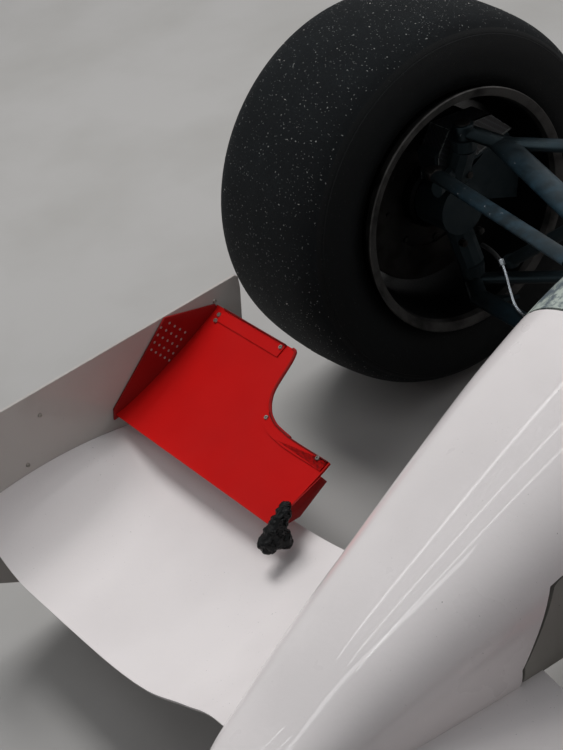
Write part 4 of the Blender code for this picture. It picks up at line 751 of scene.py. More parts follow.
# front flaps with their strips, fences and holes
flapSpec = {
    "front": -0.561, "height": 0.235, "chord": 0.188, "rise": 0.066, "inner": 0.311, "outer": 0.6597, "thick": 0.0045,
    "edge": (  # place across, share of the chord at which the S shaped trailing edge runs
        (0.311, 0.5275), (0.3635, 0.5235), (0.3911, 0.5243), (0.4119, 0.5348), (0.4250, 0.5450), (0.4343, 0.5608),
        (0.4430, 0.5800), (0.4502, 0.6040), (0.4580, 0.6390), (0.4643, 0.6788), (0.4680, 0.7130), (0.4707, 0.7540),
        (0.4735, 0.8200), (0.4759, 0.8848), (0.4785, 0.9400), (0.4830, 0.9900), (0.4900, 1.0000), (0.6600, 1.0000)),
    "strips": ((0.502, 0.6400, 0.018, 0.0030), (0.3135, 0.4465, 0.014, 0.0018)), "lip": 0.0016,
    "fence": ((-0.565, 0.228), (-0.561, 0.243), (-0.453, 0.327), (-0.377, 0.305), (-0.373, 0.281), (-0.471, 0.235)),
    "innerFence": ((-0.557, 0.223), (-0.557, 0.234), (-0.479, 0.255), (-0.473, 0.244), (-0.520, 0.221)),
    "holes": 5, "holeWide": 0.0040,
    "corners": ((-0.4543, 0.3241), (-0.4310, 0.2908), (-0.4845, 0.2943), (-0.4648, 0.2654)),
    "screws": ((0.6419, 0.947), (0.6400, 0.903), (0.5075, 0.968), (0.4440, 0.548), (0.3300, 0.510)),
    "tape": (  # place and radius of each lump
        (0.3045, -1.8180, 0.2500, 0.0090), (0.3015, -1.8235, 0.2465, 0.0110), (0.2995, -1.8330, 0.2400, 0.0125),
        (0.2990, -1.8440, 0.2310, 0.0130), (0.2985, -1.8545, 0.2225, 0.0140), (0.2960, -1.8370, 0.2190, 0.0135),
        (0.2970, -1.8440, 0.2240, 0.0135))}


def flapShare(x):  # share of the chord at which the S shaped trailing edge runs
    rows = flapSpec["edge"]
    x = min(max(abs(x), rows[0][0]), rows[-1][0])
    (x0, s0), (x1, s1) = next(pair for pair in zip(rows, rows[1:]) if x <= pair[1][0])
    return s0 + (s1 - s0) * (x - x0) / (x1 - x0)


def flapPoint(x, share, lift=0.0):
    f = flapSpec
    steep = 1.3 * f["rise"] / f["chord"] * max(share, 0.001) ** 0.3
    away = Vector((0, -steep, 1)).normalized()
    y, z = f["front"] + f["chord"] * share + frontAxle, f["height"] + f["rise"] * share ** 1.3
    return Vector((x, y, z)) + away * lift


def makeFlap(word, side):
    f, name, end = flapSpec, "front_flap_%s_" % word, flapSpec["outer"]

    def place(across, turn):
        x = (f["inner"] + (end - f["inner"]) * across) * side
        along = chordShare(turn)
        body = f["thick"] * min(1.0, 9 * along) ** 0.5 * (1 - 0.35 * along)
        return flapPoint(x, along * flapShare(x), 0.0 if turn <= 0.5 else -body)
    asPiece(skinned(200, 40, place), name + "skin", red, "front_flap_" + word)

    strips, lips = bmesh.new(), bmesh.new()  # folded strips along the trailing edges, each with a worn lip
    corners = ((0, 0), (0, 1), (1, 1), (1, 0), (0, 0))
    for low, high, deep, rise in f["strips"]:
        def strip(across, turn):
            x = (low + (high - low) * across) * side
            share = flapShare(x) - deep / f["chord"] * (0.5 + 0.5 * math.cos(fullTurn * turn))
            return flapPoint(x, share, 0.0013 if turn <= 0.5 else 0.0001)

        def lip(across, turn):
            x = (low + (high - low) * across) * side
            back, up = corners[int(round(turn * 4))]
            return flapPoint(x, flapShare(x), 0.0001 + up * rise) + Vector((0, (back - 1) * f["lip"], 0))
        gridSkin(strips, 40, 4, strip)
        gridSkin(lips, 40, 4, lip)
    asPiece(closeSkin(strips), name + "strips", stripRed)
    asPiece(closeSkin(lips), name + "lips", trimRed)

    bm = bmesh.new()  # rolled edge along the S
    pipe(bm, [flapPoint(x * side, share, -0.0012) for x, share in f["edge"][2:-1]], 0.0022, 10, 4)
    asPiece(bm, name + "beading", darkRed)

    bm = bmesh.new()
    sidePlate(bm, f["fence"], (end - 0.003) * side, end * side)
    bevelSharp(bm, 0.0006)
    fence = asPiece(bm, name + "fence", darkRed)
    bm, behind = bmesh.new(), bmesh.new()
    first, second, third, last = [Vector(point) for point in f["corners"]]
    shares = [i / (f["holes"] - 1) for i in range(f["holes"])]
    for down in shares:
        for over in shares:
            y, z = first.lerp(second, over).lerp(third.lerp(last, over), down)
            for made, low, high, wide in ((bm, end - 0.01, end + 0.002, 1.0), (behind, end - 0.0022, end, 0.95)):
                if down or over:  # no hole in the first corner
                    rod(made, (low * side, y + frontAxle, z), (high * side, y + frontAxle, z), wide * f["holeWide"],
                        segments=14)
    carve(fence, bm)
    asPiece(behind, name + "painted_light_discs", shadedPlateWhite)  # painted light: pale discs in the holes stand in for the light seen through them
    bm = bmesh.new()
    sidePlate(bm, f["innerFence"], (f["inner"] - 0.0025) * side, (f["inner"] + 0.0002) * side)
    bevelSharp(bm, 0.0006)
    asPiece(bm, name + "inner_fence", darkRed)

    bm = bmesh.new()
    for x, share in f["screws"]:
        screw(bm, flapPoint(x * side, share, 0.0014), (0, -0.4, 0.9), 0.0034, 0.0016)
    asPiece(bm, name + "screws", zincSteel)

    bm = bmesh.new()  # tape bound and crumpled round the flap's front pivot
    for x, y, z, size in f["tape"]:
        bmesh.ops.create_icosphere(bm, subdivisions=3, radius=size, matrix=Matrix.Translation((x * side, y, z)))
    lump = asPiece(bm, name + "tape", blackTape, smoothAngle=60)
    join = lump.modifiers.new("join", "REMESH")
    join.mode, join.voxel_size, join.use_smooth_shade = "VOXEL", 0.0010, True
    for size, strength in ((0.012, 0.0050), (0.0050, 0.0008)):
        folds = bpy.data.textures.new("tapeFolds", "CLOUDS")
        folds.noise_scale, folds.noise_depth, folds.noise_type = size, 2, "HARD_NOISE"
        crumple = lump.modifiers.new("crumple", "DISPLACE")
        crumple.texture, crumple.strength, crumple.mid_level = folds, strength, 0.5
    settle(lump)


for word, side in sides:
    makeFlap(word, side)
print("flaps made")


# suspension: points are half width, station behind the front axle, height
def spot(point, side):
    return Vector((point[0] * side, point[1] + frontAxle, point[2]))


frontLinks = {  # ball joint, then each leg: its outer start, its inner end and its chord
    "upper": ((0.588, 0.020, 0.392), (((0.540, 0.045, 0.373), (0.100, -0.110, 0.388), 0.037),
                                      ((0.540, 0.045, 0.373), (0.100, 0.230, 0.392), 0.024))),
    "lower": ((0.606, 0.004, 0.152), (((0.562, -0.024, 0.153), (0.100, -0.100, 0.215), 0.031),
                                      ((0.606, 0.004, 0.152), (0.100, 0.330, 0.175), 0.021)))}
rearLinks = {
    "upper": ((0.560, 2.710, 0.405), (((0.560, 2.710, 0.405), (0.060, 2.430, 0.370), 0.034),
                                      ((0.560, 2.710, 0.405), (0.060, 2.800, 0.370), 0.028))),
    "lower": ((0.575, 2.695, 0.155), (((0.575, 2.695, 0.155), (0.060, 2.400, 0.170), 0.034),
                                      ((0.575, 2.695, 0.155), (0.060, 2.850, 0.170), 0.028)))}
linkSpec = {"thick": 0.016, "rodEnd": 0.058, "fork": 0.017, "eye": 0.024, "thread": 0.0085, "hexagon": 0.017}
gearboxRows = ((2.252, 0.200, 0.075, 0.220, 0.360), (2.400, 0.150, 0.085, 0.240, 0.360),
               (2.620, 0.115, 0.100, 0.260, 0.370),
               (2.860, 0.105, 0.120, 0.260, 0.370), (3.120, 0.070, 0.200, 0.270, 0.340))


def depthIn(row, x, z, power=2.5):  # under 1 inside a section of a body, and 1 on its skin
    half, bottom, widest, top = row
    reach = top - widest if z > widest else widest - bottom
    return (abs(x) / half) ** power + (abs(z - widest) / reach) ** power


def entry(outer, inner, table, power):  # share of the way in at which a link meets the body
    for i in range(200):
        point = outer.lerp(inner, i / 200)
        station = point.y - frontAxle
        if table[0][0] <= station <= table[-1][0] and depthIn(smoothRow(table, station), point.x, point.z, power) < 1:
            return i / 200
    return 1.0


def leg(bm, metal, outer, inner, table, power, chord, thick):
    # streamlined tube, then a threaded rod end in a forked bracket on the body
    skin = outer.lerp(inner, entry(outer, inner, table, power))
    back = (outer - inner).normalized()
    tubeEnd, joint = skin + back * linkSpec["rodEnd"], skin + back * linkSpec["fork"]
    rod(bm, outer, tubeEnd, chord, thick, segments=28)
    rod(bm, tubeEnd - back * 0.004, tubeEnd + back * 0.003, chord * 0.72, thick * 1.1, segments=20, bevel=0.001)
    rod(metal, joint, tubeEnd, linkSpec["thread"], segments=16)
    rod(metal, tubeEnd - back * 0.011, tubeEnd - back * 0.004, linkSpec["hexagon"], segments=6, bevel=0.0008)
    pin(metal, joint, upward * 0.0065, linkSpec["eye"], 24, 0.0012)
    pin(metal, joint, upward * linkSpec["fork"], 0.0075, 12)
    for lift in (-linkSpec["fork"], linkSpec["fork"]):
        pin(metal, joint + upward * lift, upward * 0.002, 0.013, 6, 0.0005)
        plate = joint + upward * lift * 0.62
        rod(metal, plate + back * 0.011, plate - back * 0.022, linkSpec["eye"], 0.003, segments=4)


def makeLinks(axle, links, table, power, jointMetal):
    for word, side in sides:
        post = (spot(links["upper"][0], side) - spot(links["lower"][0], side)).normalized()
        for level, (ball, legs) in links.items():
            bm, metal = bmesh.new(), bmesh.new()
            apex = spot(ball, side)
            pin(bm, apex, post * 0.011, 0.031, 36, 0.0016)
            for start, inner, chord in legs:
                start = spot(start, side)
                if (start - apex).length > 0.01:  # machined neck out to the ball joint
                    rod(bm, apex, start + (start - apex) * 0.08, 0.026, 0.0165, segments=24)
                leg(bm, metal, start, spot(inner, side), table, power, chord, linkSpec["thick"])
            meet = spot(legs[0][0], side)
            first, second = [(spot(inner, side) - spot(start, side)).normalized() for start, inner, _ in legs]
            web = [meet + first * 0.010, meet + first * 0.060, meet + (first + second).normalized() * 0.040,
                   meet + second * 0.060, meet + second * 0.010]
            sheet = bm.faces.new([bm.verts.new(point - post * 0.003) for point in web])  # gusset between the legs
            push(bm, [sheet], post * 0.006)
            rod(metal, apex + post * 0.0105, apex + post * 0.0125, 0.022, segments=28, bevel=0.0005)
            faceOut(bm)
            node = "%s_%s_wishbone_%s" % (axle, level, word)
            asPiece(bm, node + "_tubes", tube, node)
            asPiece(metal, node + "_joints", jointMetal)


def makeRods(node, outer, inner, table, power, chord, thick, outerEnd, mats):
    for word, side in sides:
        bm, metal = bmesh.new(), bmesh.new()
        start, end = spot(outer, side), spot(inner, side)
        ahead = (end - start).normalized()
        leg(bm, metal, start + ahead * outerEnd, end, table, power, chord, thick)
        if outerEnd:  # threaded rod end towards the upright
            rod(metal, start, start + ahead * (outerEnd + 0.004), linkSpec["thread"], segments=14)
            rod(metal, start + ahead * (outerEnd - 0.010), start + ahead * (outerEnd - 0.002), linkSpec["hexagon"],
                segments=6, bevel=0.0008)
        pin(metal, start, upward * 0.006, 0.023, 24, 0.0012)
        asPiece(bm, "%s_%s_tube" % (node, word), mats[0], "%s_%s" % (node, word))
        asPiece(metal, "%s_%s_joints" % (node, word), mats[1])


makeLinks("front", frontLinks, hull, 2.5, wheelShadeCastIron)
makeLinks("rear", rearLinks, gearboxRows, 3.0, zincSteel)
makeRods("track_rod", (0.575, -0.050, 0.364), (0.100, -0.150, 0.398), hull, 2.5, 0.023, 0.013, 0.012, (tube, wheelShadeCastIron))
makeRods("front_pushrod", (0.545, 0.030, 0.190), (0.120, 0.120, 0.500), hull, 2.5, 0.018, 0.018, 0.0,
         (uprightBlack, uprightBlack))
makeRods("rear_pushrod", (0.520, 2.670, 0.200), (0.060, 2.560, 0.350), gearboxRows, 3.0, 0.018, 0.018, 0.0,
         (tube, zincSteel))

hoseSpec = {
    "radius": 0.0021, "shares": (0.27, 0.40, 0.55, 0.70, 0.82),
    "route": ((0.512, -0.012, 0.2230), (0.507, -0.0140, 0.2180), (0.494, -0.0215, 0.2090), (0.478, -0.0315, 0.1980),
              (0.462, -0.0395, 0.1860)),
    "sleeve": ((0.572, 0.006, 0.220), (0.552, -0.001, 0.226), (0.530, -0.007, 0.227), (0.512, -0.012, 0.2230))}
ductSpec = {
    "inside": 0.607, "outside": 0.647, "thick": 0.0024, "lid": 0.0022,
    "line": ((-0.022, 0.318), (-0.014, 0.362), (0.012, 0.391), (0.086, 0.380), (0.118, 0.343), (0.050, 0.334)),
    "frays": ((0.06, 0.22, 0.0011), (0.34, 0.15, 0.0015), (0.56, 0.10, 0.0010), (0.72, 0.22, 0.0013))}


def makeCorners():
    for word, side in sides:
        hub = "front_hub_" + word
        bm = bmesh.new()
        points = [spot(p, side) for p in hoseSpec["route"]]
        start, inner = [spot(point, side) for point in frontLinks["lower"][1][0][:2]]
        points += [start.lerp(inner, share) + Vector((0, 0, 0.0112)) for share in hoseSpec["shares"]]
        pipe(bm, points, hoseSpec["radius"], 12, 6)
        pin(bm, points[0], (points[1] - points[0]) * 0.6, 0.0085, 6, 0.0006)
        asPiece(bm, "front_brake_line_%s_hose" % word, braid, "front_brake_line_" + word)
        bm = bmesh.new()
        pipe(bm, [spot(point, side) for point in hoseSpec["sleeve"]], 0.0034, 12, 5)
        asPiece(bm, "front_brake_line_%s_sleeve" % word, edgeRubber)
        bm = bmesh.new()  # cooling duct over the disc, chipped along its mouth
        inside, outside, wall = [ductSpec[key] * side for key in ("inside", "outside", "thick")]
        line, lid = ductSpec["line"], ductSpec["lid"]
        for x in (inside, outside - wall):
            sidePlate(bm, line, x, x + wall)
        for (y0, z0), (y1, z1) in zip(line[1:], line[2:]):
            sidePlate(bm, ((y0, z0), (y1, z1), (y1, z1 - lid), (y0, z0 - lid)), inside, outside)
        asPiece(bm, "front_duct_" + word, chippedCarbon, body=hub)
        bm = bmesh.new()  # pale frayed edges, where the carbon has worn through
        for first, last in ((0, 1), (1, 2), (4, 5), (5, 0)):
            ends = [Vector((inside, line[i][0] + frontAxle, line[i][1])) for i in (first, last)]
            for share, length, wide in ductSpec["frays"]:
                rod(bm, ends[0].lerp(ends[1], share), ends[0].lerp(ends[1], share + length), wide, segments=6)
        asPiece(bm, "front_duct_%s_frays" % word, frayedCarbon, body=hub)
        bm = bmesh.new()
        for y, z in ((-0.012, 0.226), (0.020, 0.230), (0.018, 0.322), (-0.016, 0.318)):
            rod(bm, spot((0.586, y, z), side), spot((0.596, y, z), side), 0.011, segments=6, bevel=0.0006)
        asPiece(bm, "front_upright_%s_bolts" % word, wheelShadeCastIron, body=hub)


makeCorners()
print("suspension made")

# tub with its cockpit
cockpit = {"front": 0.800, "rear": 1.500, "half": 0.235, "wall": 0.022, "pedals": -0.060, "seatBack": 1.555}


def openingPlace(c, s):  # place across and station on the rim of the opening, from a cosine and a sine
    middle, half = (cockpit["front"] + cockpit["rear"]) / 2, (cockpit["rear"] - cockpit["front"]) / 2
    return cockpit["half"] * squared(c, 0.6), middle + half * squared(s, 0.7)


def makeTub():
    tub = asPiece(hullSkin(*tubEnds, 84), "tub_skin", [primerGrey, white, cockpitBlack], "monocoque")

    def inside(share, turn):
        station = cockpit["pedals"] + (cockpit["seatBack"] - cockpit["pedals"]) * share
        half, bottom, widest, top = smoothRow(hull, station)
        wall = cockpit["wall"]
        return onOval((half - wall, bottom + wall, widest, top - wall), station + frontAxle, turn)
    carve(tub, skinned(40, 48, inside))
    cut = bmesh.new()
    for vert in bmesh.ops.create_circle(cut, cap_ends=True, segments=72, radius=1.0)["verts"]:
        x, station = openingPlace(vert.co.x, vert.co.y)
        vert.co = (x, station + frontAxle, 0.450)
    push(cut, list(cut.faces), (0, 0, 0.350))
    faceOut(cut)
    carve(tub, cut)
    for face in tub.data.polygons:  # white body, grey front end, black inside
        station = face.center.y - frontAxle
        row = smoothRow(hull, min(max(station, -0.27), 1.7))
        hollow = depthIn(row, face.center.x, face.center.z) < 0.93 and -0.06 < station < 1.56
        face.material_index = 2 if hollow else (0 if station < 0.02 else 1)
    bm = bmesh.new()  # padded edging round the cockpit
    ring = []
    for angle in around(72):
        x, station = openingPlace(math.cos(angle), math.sin(angle))
        half, _, widest, top = smoothRow(hull, station)
        height = widest + (top - widest) * (1 - (abs(x) / half) ** 2.5) ** 0.4
        ring.append(Vector((x, station + frontAxle, height + 0.001)))
    pipe(bm, ring + ring[:2], 0.0065, 12, 2)
    asPiece(bm, "cockpit_edging", edgeRubber)


makeTub()
print("tub made")

# sidepods with radiators, engine cover
podRows = ((0.000, 0.400, 0.205, 0.300, 0.435), (0.081, 0.405, 0.210, 0.300, 0.448),
           (0.390, 0.405, 0.212, 0.300, 0.440),
           (0.715, 0.360, 0.190, 0.280, 0.400), (1.000, 0.285, 0.130, 0.230, 0.320))
podSpec = {"front": 1.020, "rear": 2.250, "floor": 0.0593, "wall": 0.014, "depth": 0.300, "inner": 0.345}
coverRows = ((0.000, 0.130, 0.560, 0.700, 0.930), (0.120, 0.150, 0.440, 0.650, 0.915),
             (0.350, 0.165, 0.400, 0.560, 0.800),
             (0.650, 0.145, 0.370, 0.480, 0.640), (1.000, 0.095, 0.350, 0.420, 0.500))
coverSpec = {"front": 1.600, "rear": 2.600, "wall": 0.006}


def podPoint(share, turn, side, shrink=0.0, inner=0.0):
    centre, reach, widest, top = smoothRow(podRows, share)
    station = podSpec["front"] + (podSpec["rear"] - podSpec["front"]) * share
    row = (reach - shrink, podSpec["floor"] + shrink, widest, top - shrink)
    point = onOval(row, station + frontAxle, turn, 4.0, centre * side)
    if inner:
        point.x = side * max(abs(point.x), inner)
    return point


def skinScrew(bm, place, share, turn, heart):  # a quarter turn fastener square to a skin, away from its heart
    at = place(share, turn)
    ahead = place(share + 0.01, turn) - place(share - 0.01, turn)
    over = place(share, turn + 0.004) - place(share, turn - 0.004)
    out = ahead.cross(over).normalized()
    screw(bm, at, out if out.dot(at - Vector((heart[0], at.y, heart[1]))) > 0 else -out, 0.0075, 0.0018)


def makePod(word, side):
    def place(share, turn):
        return podPoint(share, turn, side)

    def intake(share, turn):
        atMouth = share <= 0.05
        depth = 0.0 if atMouth else -0.02 + (podSpec["depth"] + 0.02) * share
        point = podPoint(depth / length, turn, side, podSpec["wall"], podSpec["inner"])
        return point - rearward * 0.02 if atMouth else point
    length = podSpec["rear"] - podSpec["front"]
    pod = asPiece(skinned(48, 64, place), "sidepod_%s_skin" % word, white, "sidepod_" + word)
    carve(pod, skinned(12, 64, intake))
    carve(pod, hullSkin(*tubEnds, 60, 0.0003))
    bay = bmesh.new()
    box(bay, (-0.215, 0.4203, 0.0), (0.215, 1.2, 0.7))
    carve(pod, bay)
    for i in range(7):  # cooling louvres pressed through the top
        x, y = (0.425 - 0.010 * i) * side, 0.30 + 0.045 * i
        slot = bmesh.new()
        rod(slot, (x - 0.055, y, 0.395), (x + 0.055, y, 0.395), 0.012, 0.15, segments=20)
        carve(pod, slot)
    bm = bmesh.new()  # radiator core: fins between flat tubes
    for i in range(17):
        z = 0.096 + 0.019 * i
        rod(bm, (0.3465 * side, 0.023, z), (0.575 * side, 0.023, z), 0.030, 0.0045, segments=8)
    for i in range(57):
        x = (0.348 + 0.004 * i) * side
        box(bm, (x, 0.0078, 0.090), (x + 0.0007 * side, 0.0392, 0.402))
    asPiece(bm, "radiator_%s_core" % word, castAluminium, "radiator_" + word)
    bm = bmesh.new()
    for station, turn in ((1.07, 0.16), (1.30, 0.17), (1.60, 0.17), (1.90, 0.17), (1.10, 0.03), (1.55, 0.03),
                          (2.05, 0.05)):
        share = (station - podSpec["front"]) / length
        skinScrew(bm, place, share, turn if side > 0 else 0.5 - turn, (0.4 * side, 0.25))
    asPiece(bm, "sidepod_%s_fasteners" % word, zincSteel)


def coverPoint(share, turn, shrink=0.0, drop=0.0):
    half, bottom, widest, top = smoothRow(coverRows, share)
    station = coverSpec["front"] + (coverSpec["rear"] - coverSpec["front"]) * share
    return onOval((half - shrink, bottom - drop, widest, top - shrink), station + frontAxle, turn)


def makeCover():
    cover = asPiece(skinned(60, 64, coverPoint), "engine_cover_skin", [white, cockpitBlack], "engine_cover")
    carve(cover, hullSkin(*tubEnds, 60, 0.0003))
    for side in (1, -1):
        carve(cover, skinned(40, 48, lambda share, turn: podPoint(share, turn, side, -0.0003)))
    mouth, wall = (0.075, 0.760, 0.830, 0.905), coverSpec["wall"]
    carve(cover, skinned(24, 48, lambda share, turn: coverPoint(0.30 + 0.74 * share, turn, wall, 0.2)))
    carve(cover, skinned(8, 48, lambda share, turn: onOval(mouth, 0.300 + 0.140 * share, turn, 3.0)))
    bm = bmesh.new()  # rolled lip of the scoop, and its gauze
    lip = [onOval((0.0765, 0.7585, 0.830, 0.9065), 0.3205, i / 48, 3.0) for i in range(48)]
    pipe(bm, lip + lip[:2], 0.0035, 10, 1)
    asPiece(bm, "scoop_lip", carbon)
    bm = bmesh.new()
    for i in range(15):
        x = -0.070 + 0.010 * i
        trim = 0.02 * (abs(x) > 0.06)
        rod(bm, (x, 0.410, 0.775 + trim), (x, 0.410, 0.890 - trim), 0.0012, segments=6)
    for i in range(12):
        rod(bm, (-0.068, 0.4115, 0.777 + 0.010 * i), (0.068, 0.4115, 0.777 + 0.010 * i), 0.0012, segments=6)
    asPiece(bm, "scoop_gauze", zincSteel)
    bm = bmesh.new()
    for share, turn in ((0.20, 0.14), (0.20, 0.36), (0.45, 0.12), (0.45, 0.38), (0.70, 0.12), (0.70, 0.38),
                        (0.93, 0.13), (0.93, 0.37)):
        skinScrew(bm, coverPoint, share, turn, (0.0, coverPoint(share, turn).z))
    asPiece(bm, "engine_cover_fasteners", zincSteel)


for word, side in sides:
    makePod(word, side)
makeCover()
print("pods and cover made")

# floor, power unit, exhaust, driveshafts
floorEdge = ((0.200, 0.560), (0.560, 0.980), (0.610, 1.060), (0.610, 2.180), (0.500, 2.340), (0.360, 2.420),
             (0.360, 2.560))
diffuser = ((2.540, 0.045), (2.620, 0.0500), (2.700, 0.062), (2.780, 0.078), (2.860, 0.098), (2.950, 0.123),
            (3.040, 0.150))
strake = ((2.545, 0.0455), (3.036, 0.060), (3.036, 0.156), (2.860, 0.104), (2.700, 0.066), (2.545, 0.054))
casings = (2.262, 2.45, 2.64, 2.86, 3.02)  # stations of the gearbox's flanges


def makeFloor():
    bm = bmesh.new()
    edge = floorEdge + tuple((-x, y) for x, y in floorEdge[::-1])
    slab(bm, [(x, y + frontAxle) for x, y in edge], 2, 0.0452, 0.059)
    bevelSharp(bm, 0.0015)
    for (y0, z0), (y1, z1) in zip(diffuser, diffuser[1:]):
        sidePlate(bm, ((y0, z0), (y1, z1), (y1, z1 + 0.012), (y0, z0 + 0.012)), -0.360, 0.360)
    for x in (-0.357, -0.120, 0.120, 0.354):
        sidePlate(bm, strake, x, x + 0.003)
    asPiece(bm, "floor_skin", carbon, "floor")
    bm = bmesh.new()  # stay wires and screws of the floor
    for side in (1, -1):
        rod(bm, (0.52 * side, 0.98, 0.058), (0.33 * side, 0.90, 0.20), 0.004, segments=10)
        for x, y in ((0.58, -0.15), (0.58, 0.20), (0.58, 0.60), (0.45, -0.33), (0.33, 1.20)):
            screw(bm, (x * side, y, 0.0590), (0, 0, 1), 0.006, 0.0016)
    asPiece(bm, "floor_fixings", zincSteel)


def makePowerUnit():
    bm = bmesh.new()
    line = ((-0.190, 0.070), (0.190, 0.070), (0.205, 0.200), (0.120, 0.350), (-0.120, 0.350), (-0.205, 0.200))
    slab(bm, line, 1, 0.4203, 0.9717)
    bevelSharp(bm, 0.008, 3, 0.3)
    rib = ((0.192, 0.085), (0.2035, 0.190), (0.130, 0.330), (0.10, 0.30), (0.12, 0.1))
    for i in range(9):
        for side in (1, -1):
            slab(bm, [(x * side, z) for x, z in rib], 1, 0.47 + 0.058 * i, 0.476 + 0.058 * i)
    asPiece(bm, "engine_castings", castAluminium, "engine_block")
    bm = bmesh.new()  # inlet trumpets and cam cover bolts
    trumpet = [(0.0, 0.020), (0.045, 0.020), (0.062, 0.024), (0.070, 0.032), (0.072, 0.030), (0.062, 0.021),
               (0.045, 0.017), (0.0, 0.017)]
    for i in range(4):
        made = set(bm.verts)
        spun(bm, trumpet, (0, 0, 0), 28)
        turn = Matrix.Translation((-0.055, 0.52 + 0.095 * i, 0.349)) @ Matrix.Rotation(-math.pi / 2, 4, "Y")
        move(bm, turn, [v for v in bm.verts if v not in made])
    for i in range(6):
        for x in (0.03, 0.11):
            screw(bm, (x, 0.50 + 0.075 * i, 0.3505), (0, 0, 1), 0.006, 0.004)
    asPiece(bm, "engine_trumpets", castAluminium)

    def boxPoint(share, turn):
        station = 2.252 + 0.868 * share
        return onOval(smoothRow(gearboxRows, station), station + frontAxle, turn, 3.0)
    bm, bolts = skinned(48, 56, boxPoint), bmesh.new()
    for station in casings:
        row = smoothRow(gearboxRows, station)
        wider = [value + grow for value, grow in zip(row, (0.006, -0.006, 0.0, 0.006))]
        gridSkin(bm, 2, 56, lambda share, turn: onOval(wider, station + frontAxle + 0.010 * share, turn, 3.0))
        for i in range(14):
            at = onOval(row, station + frontAxle, (i + 0.5) / 14, 3.0, 0.0, 0.001)
            rod(bolts, at - rearward * 0.006, at + rearward * 0.016, 0.010, segments=6, bevel=0.0005)
    asPiece(closeSkin(bm), "gearbox_casing", castAluminium, "gearbox")
    asPiece(bolts, "gearbox_bolts", zincSteel)


def makeExhaust():
    bm = bmesh.new()
    pipe(bm, ((0.118, 0.865, 0.255), (0.130, 0.880, 0.280), (0.162, 0.940, 0.345), (0.174, 1.010, 0.400),
              (0.175, 1.140, 0.435), (0.170, 1.350, 0.441), (0.165, 1.5795, 0.445)), 0.0215, 28, 6)
    tail = max((f for f in bm.faces if len(f.verts) > 8), key=lambda f: f.calc_center_median().y)
    sink(bm, tail, 0.0018, (0, -0.16, 0))
    rod(bm, (0.172, 1.16, 0.4362), (0.170, 1.46, 0.4430), 0.043, segments=32, bevel=0.004)
    asPiece(bm, "exhaust_pipe", hotSteel, "exhaust")


shaftSpec = {"outer": 0.578, "inner": 0.06, "wide": 0.028, "joint": (0.170, 0.204), "jointWide": 0.084, "boot": 0.206}


def makeShafts():
    z, joint = wheelSpec["rear"][2], shaftSpec["joint"]
    for word, side in sides:
        bm = bmesh.new()
        ends = [(shaftSpec[key] * side, rearAxle, z) for key in ("outer", "inner")]
        rod(bm, *ends, shaftSpec["wide"], segments=28)
        rod(bm, (joint[0] * side, rearAxle, z), (joint[1] * side, rearAxle, z), shaftSpec["jointWide"], segments=40,
            bevel=0.003)
        asPiece(bm, "driveshaft_%s_steel" % word, zincSteel, "driveshaft_" + word)
        pleats = [(0.010 + 0.006 * i, (0.037 if i % 2 else 0.029) - 0.0016 * i) for i in range(9)]
        line = [(0.0, 0.040), (0.006, 0.041)] + pleats + [(0.066, 0.0155), (0.074, 0.0155)]
        bm = bmesh.new()  # pleated boot
        spun(bm, line + [(a, r - 0.0016) for a, r in line[::-1]], (0, 0, 0), 40)
        move(bm, flipped((shaftSpec["boot"] * side, rearAxle, z), side))
        asPiece(bm, "driveshaft_%s_boot" % word, edgeRubber)


makeFloor()
makePowerUnit()
makeExhaust()
makeShafts()
print("floor and drive made")

# rear wing
rearWing = {"half": 0.475, "front": 2.920, "tail": 3.420, "top": 0.910, "bottom": 0.540, "plate": 0.006}
blades = (  # station and height of the front edge, chord, tilt, thickness
    (2.920, 0.770, 0.250, 0.12, 0.026), (3.160, 0.820, 0.165, 0.45, 0.014), (2.960, 0.560, 0.180, 0.10, 0.018))


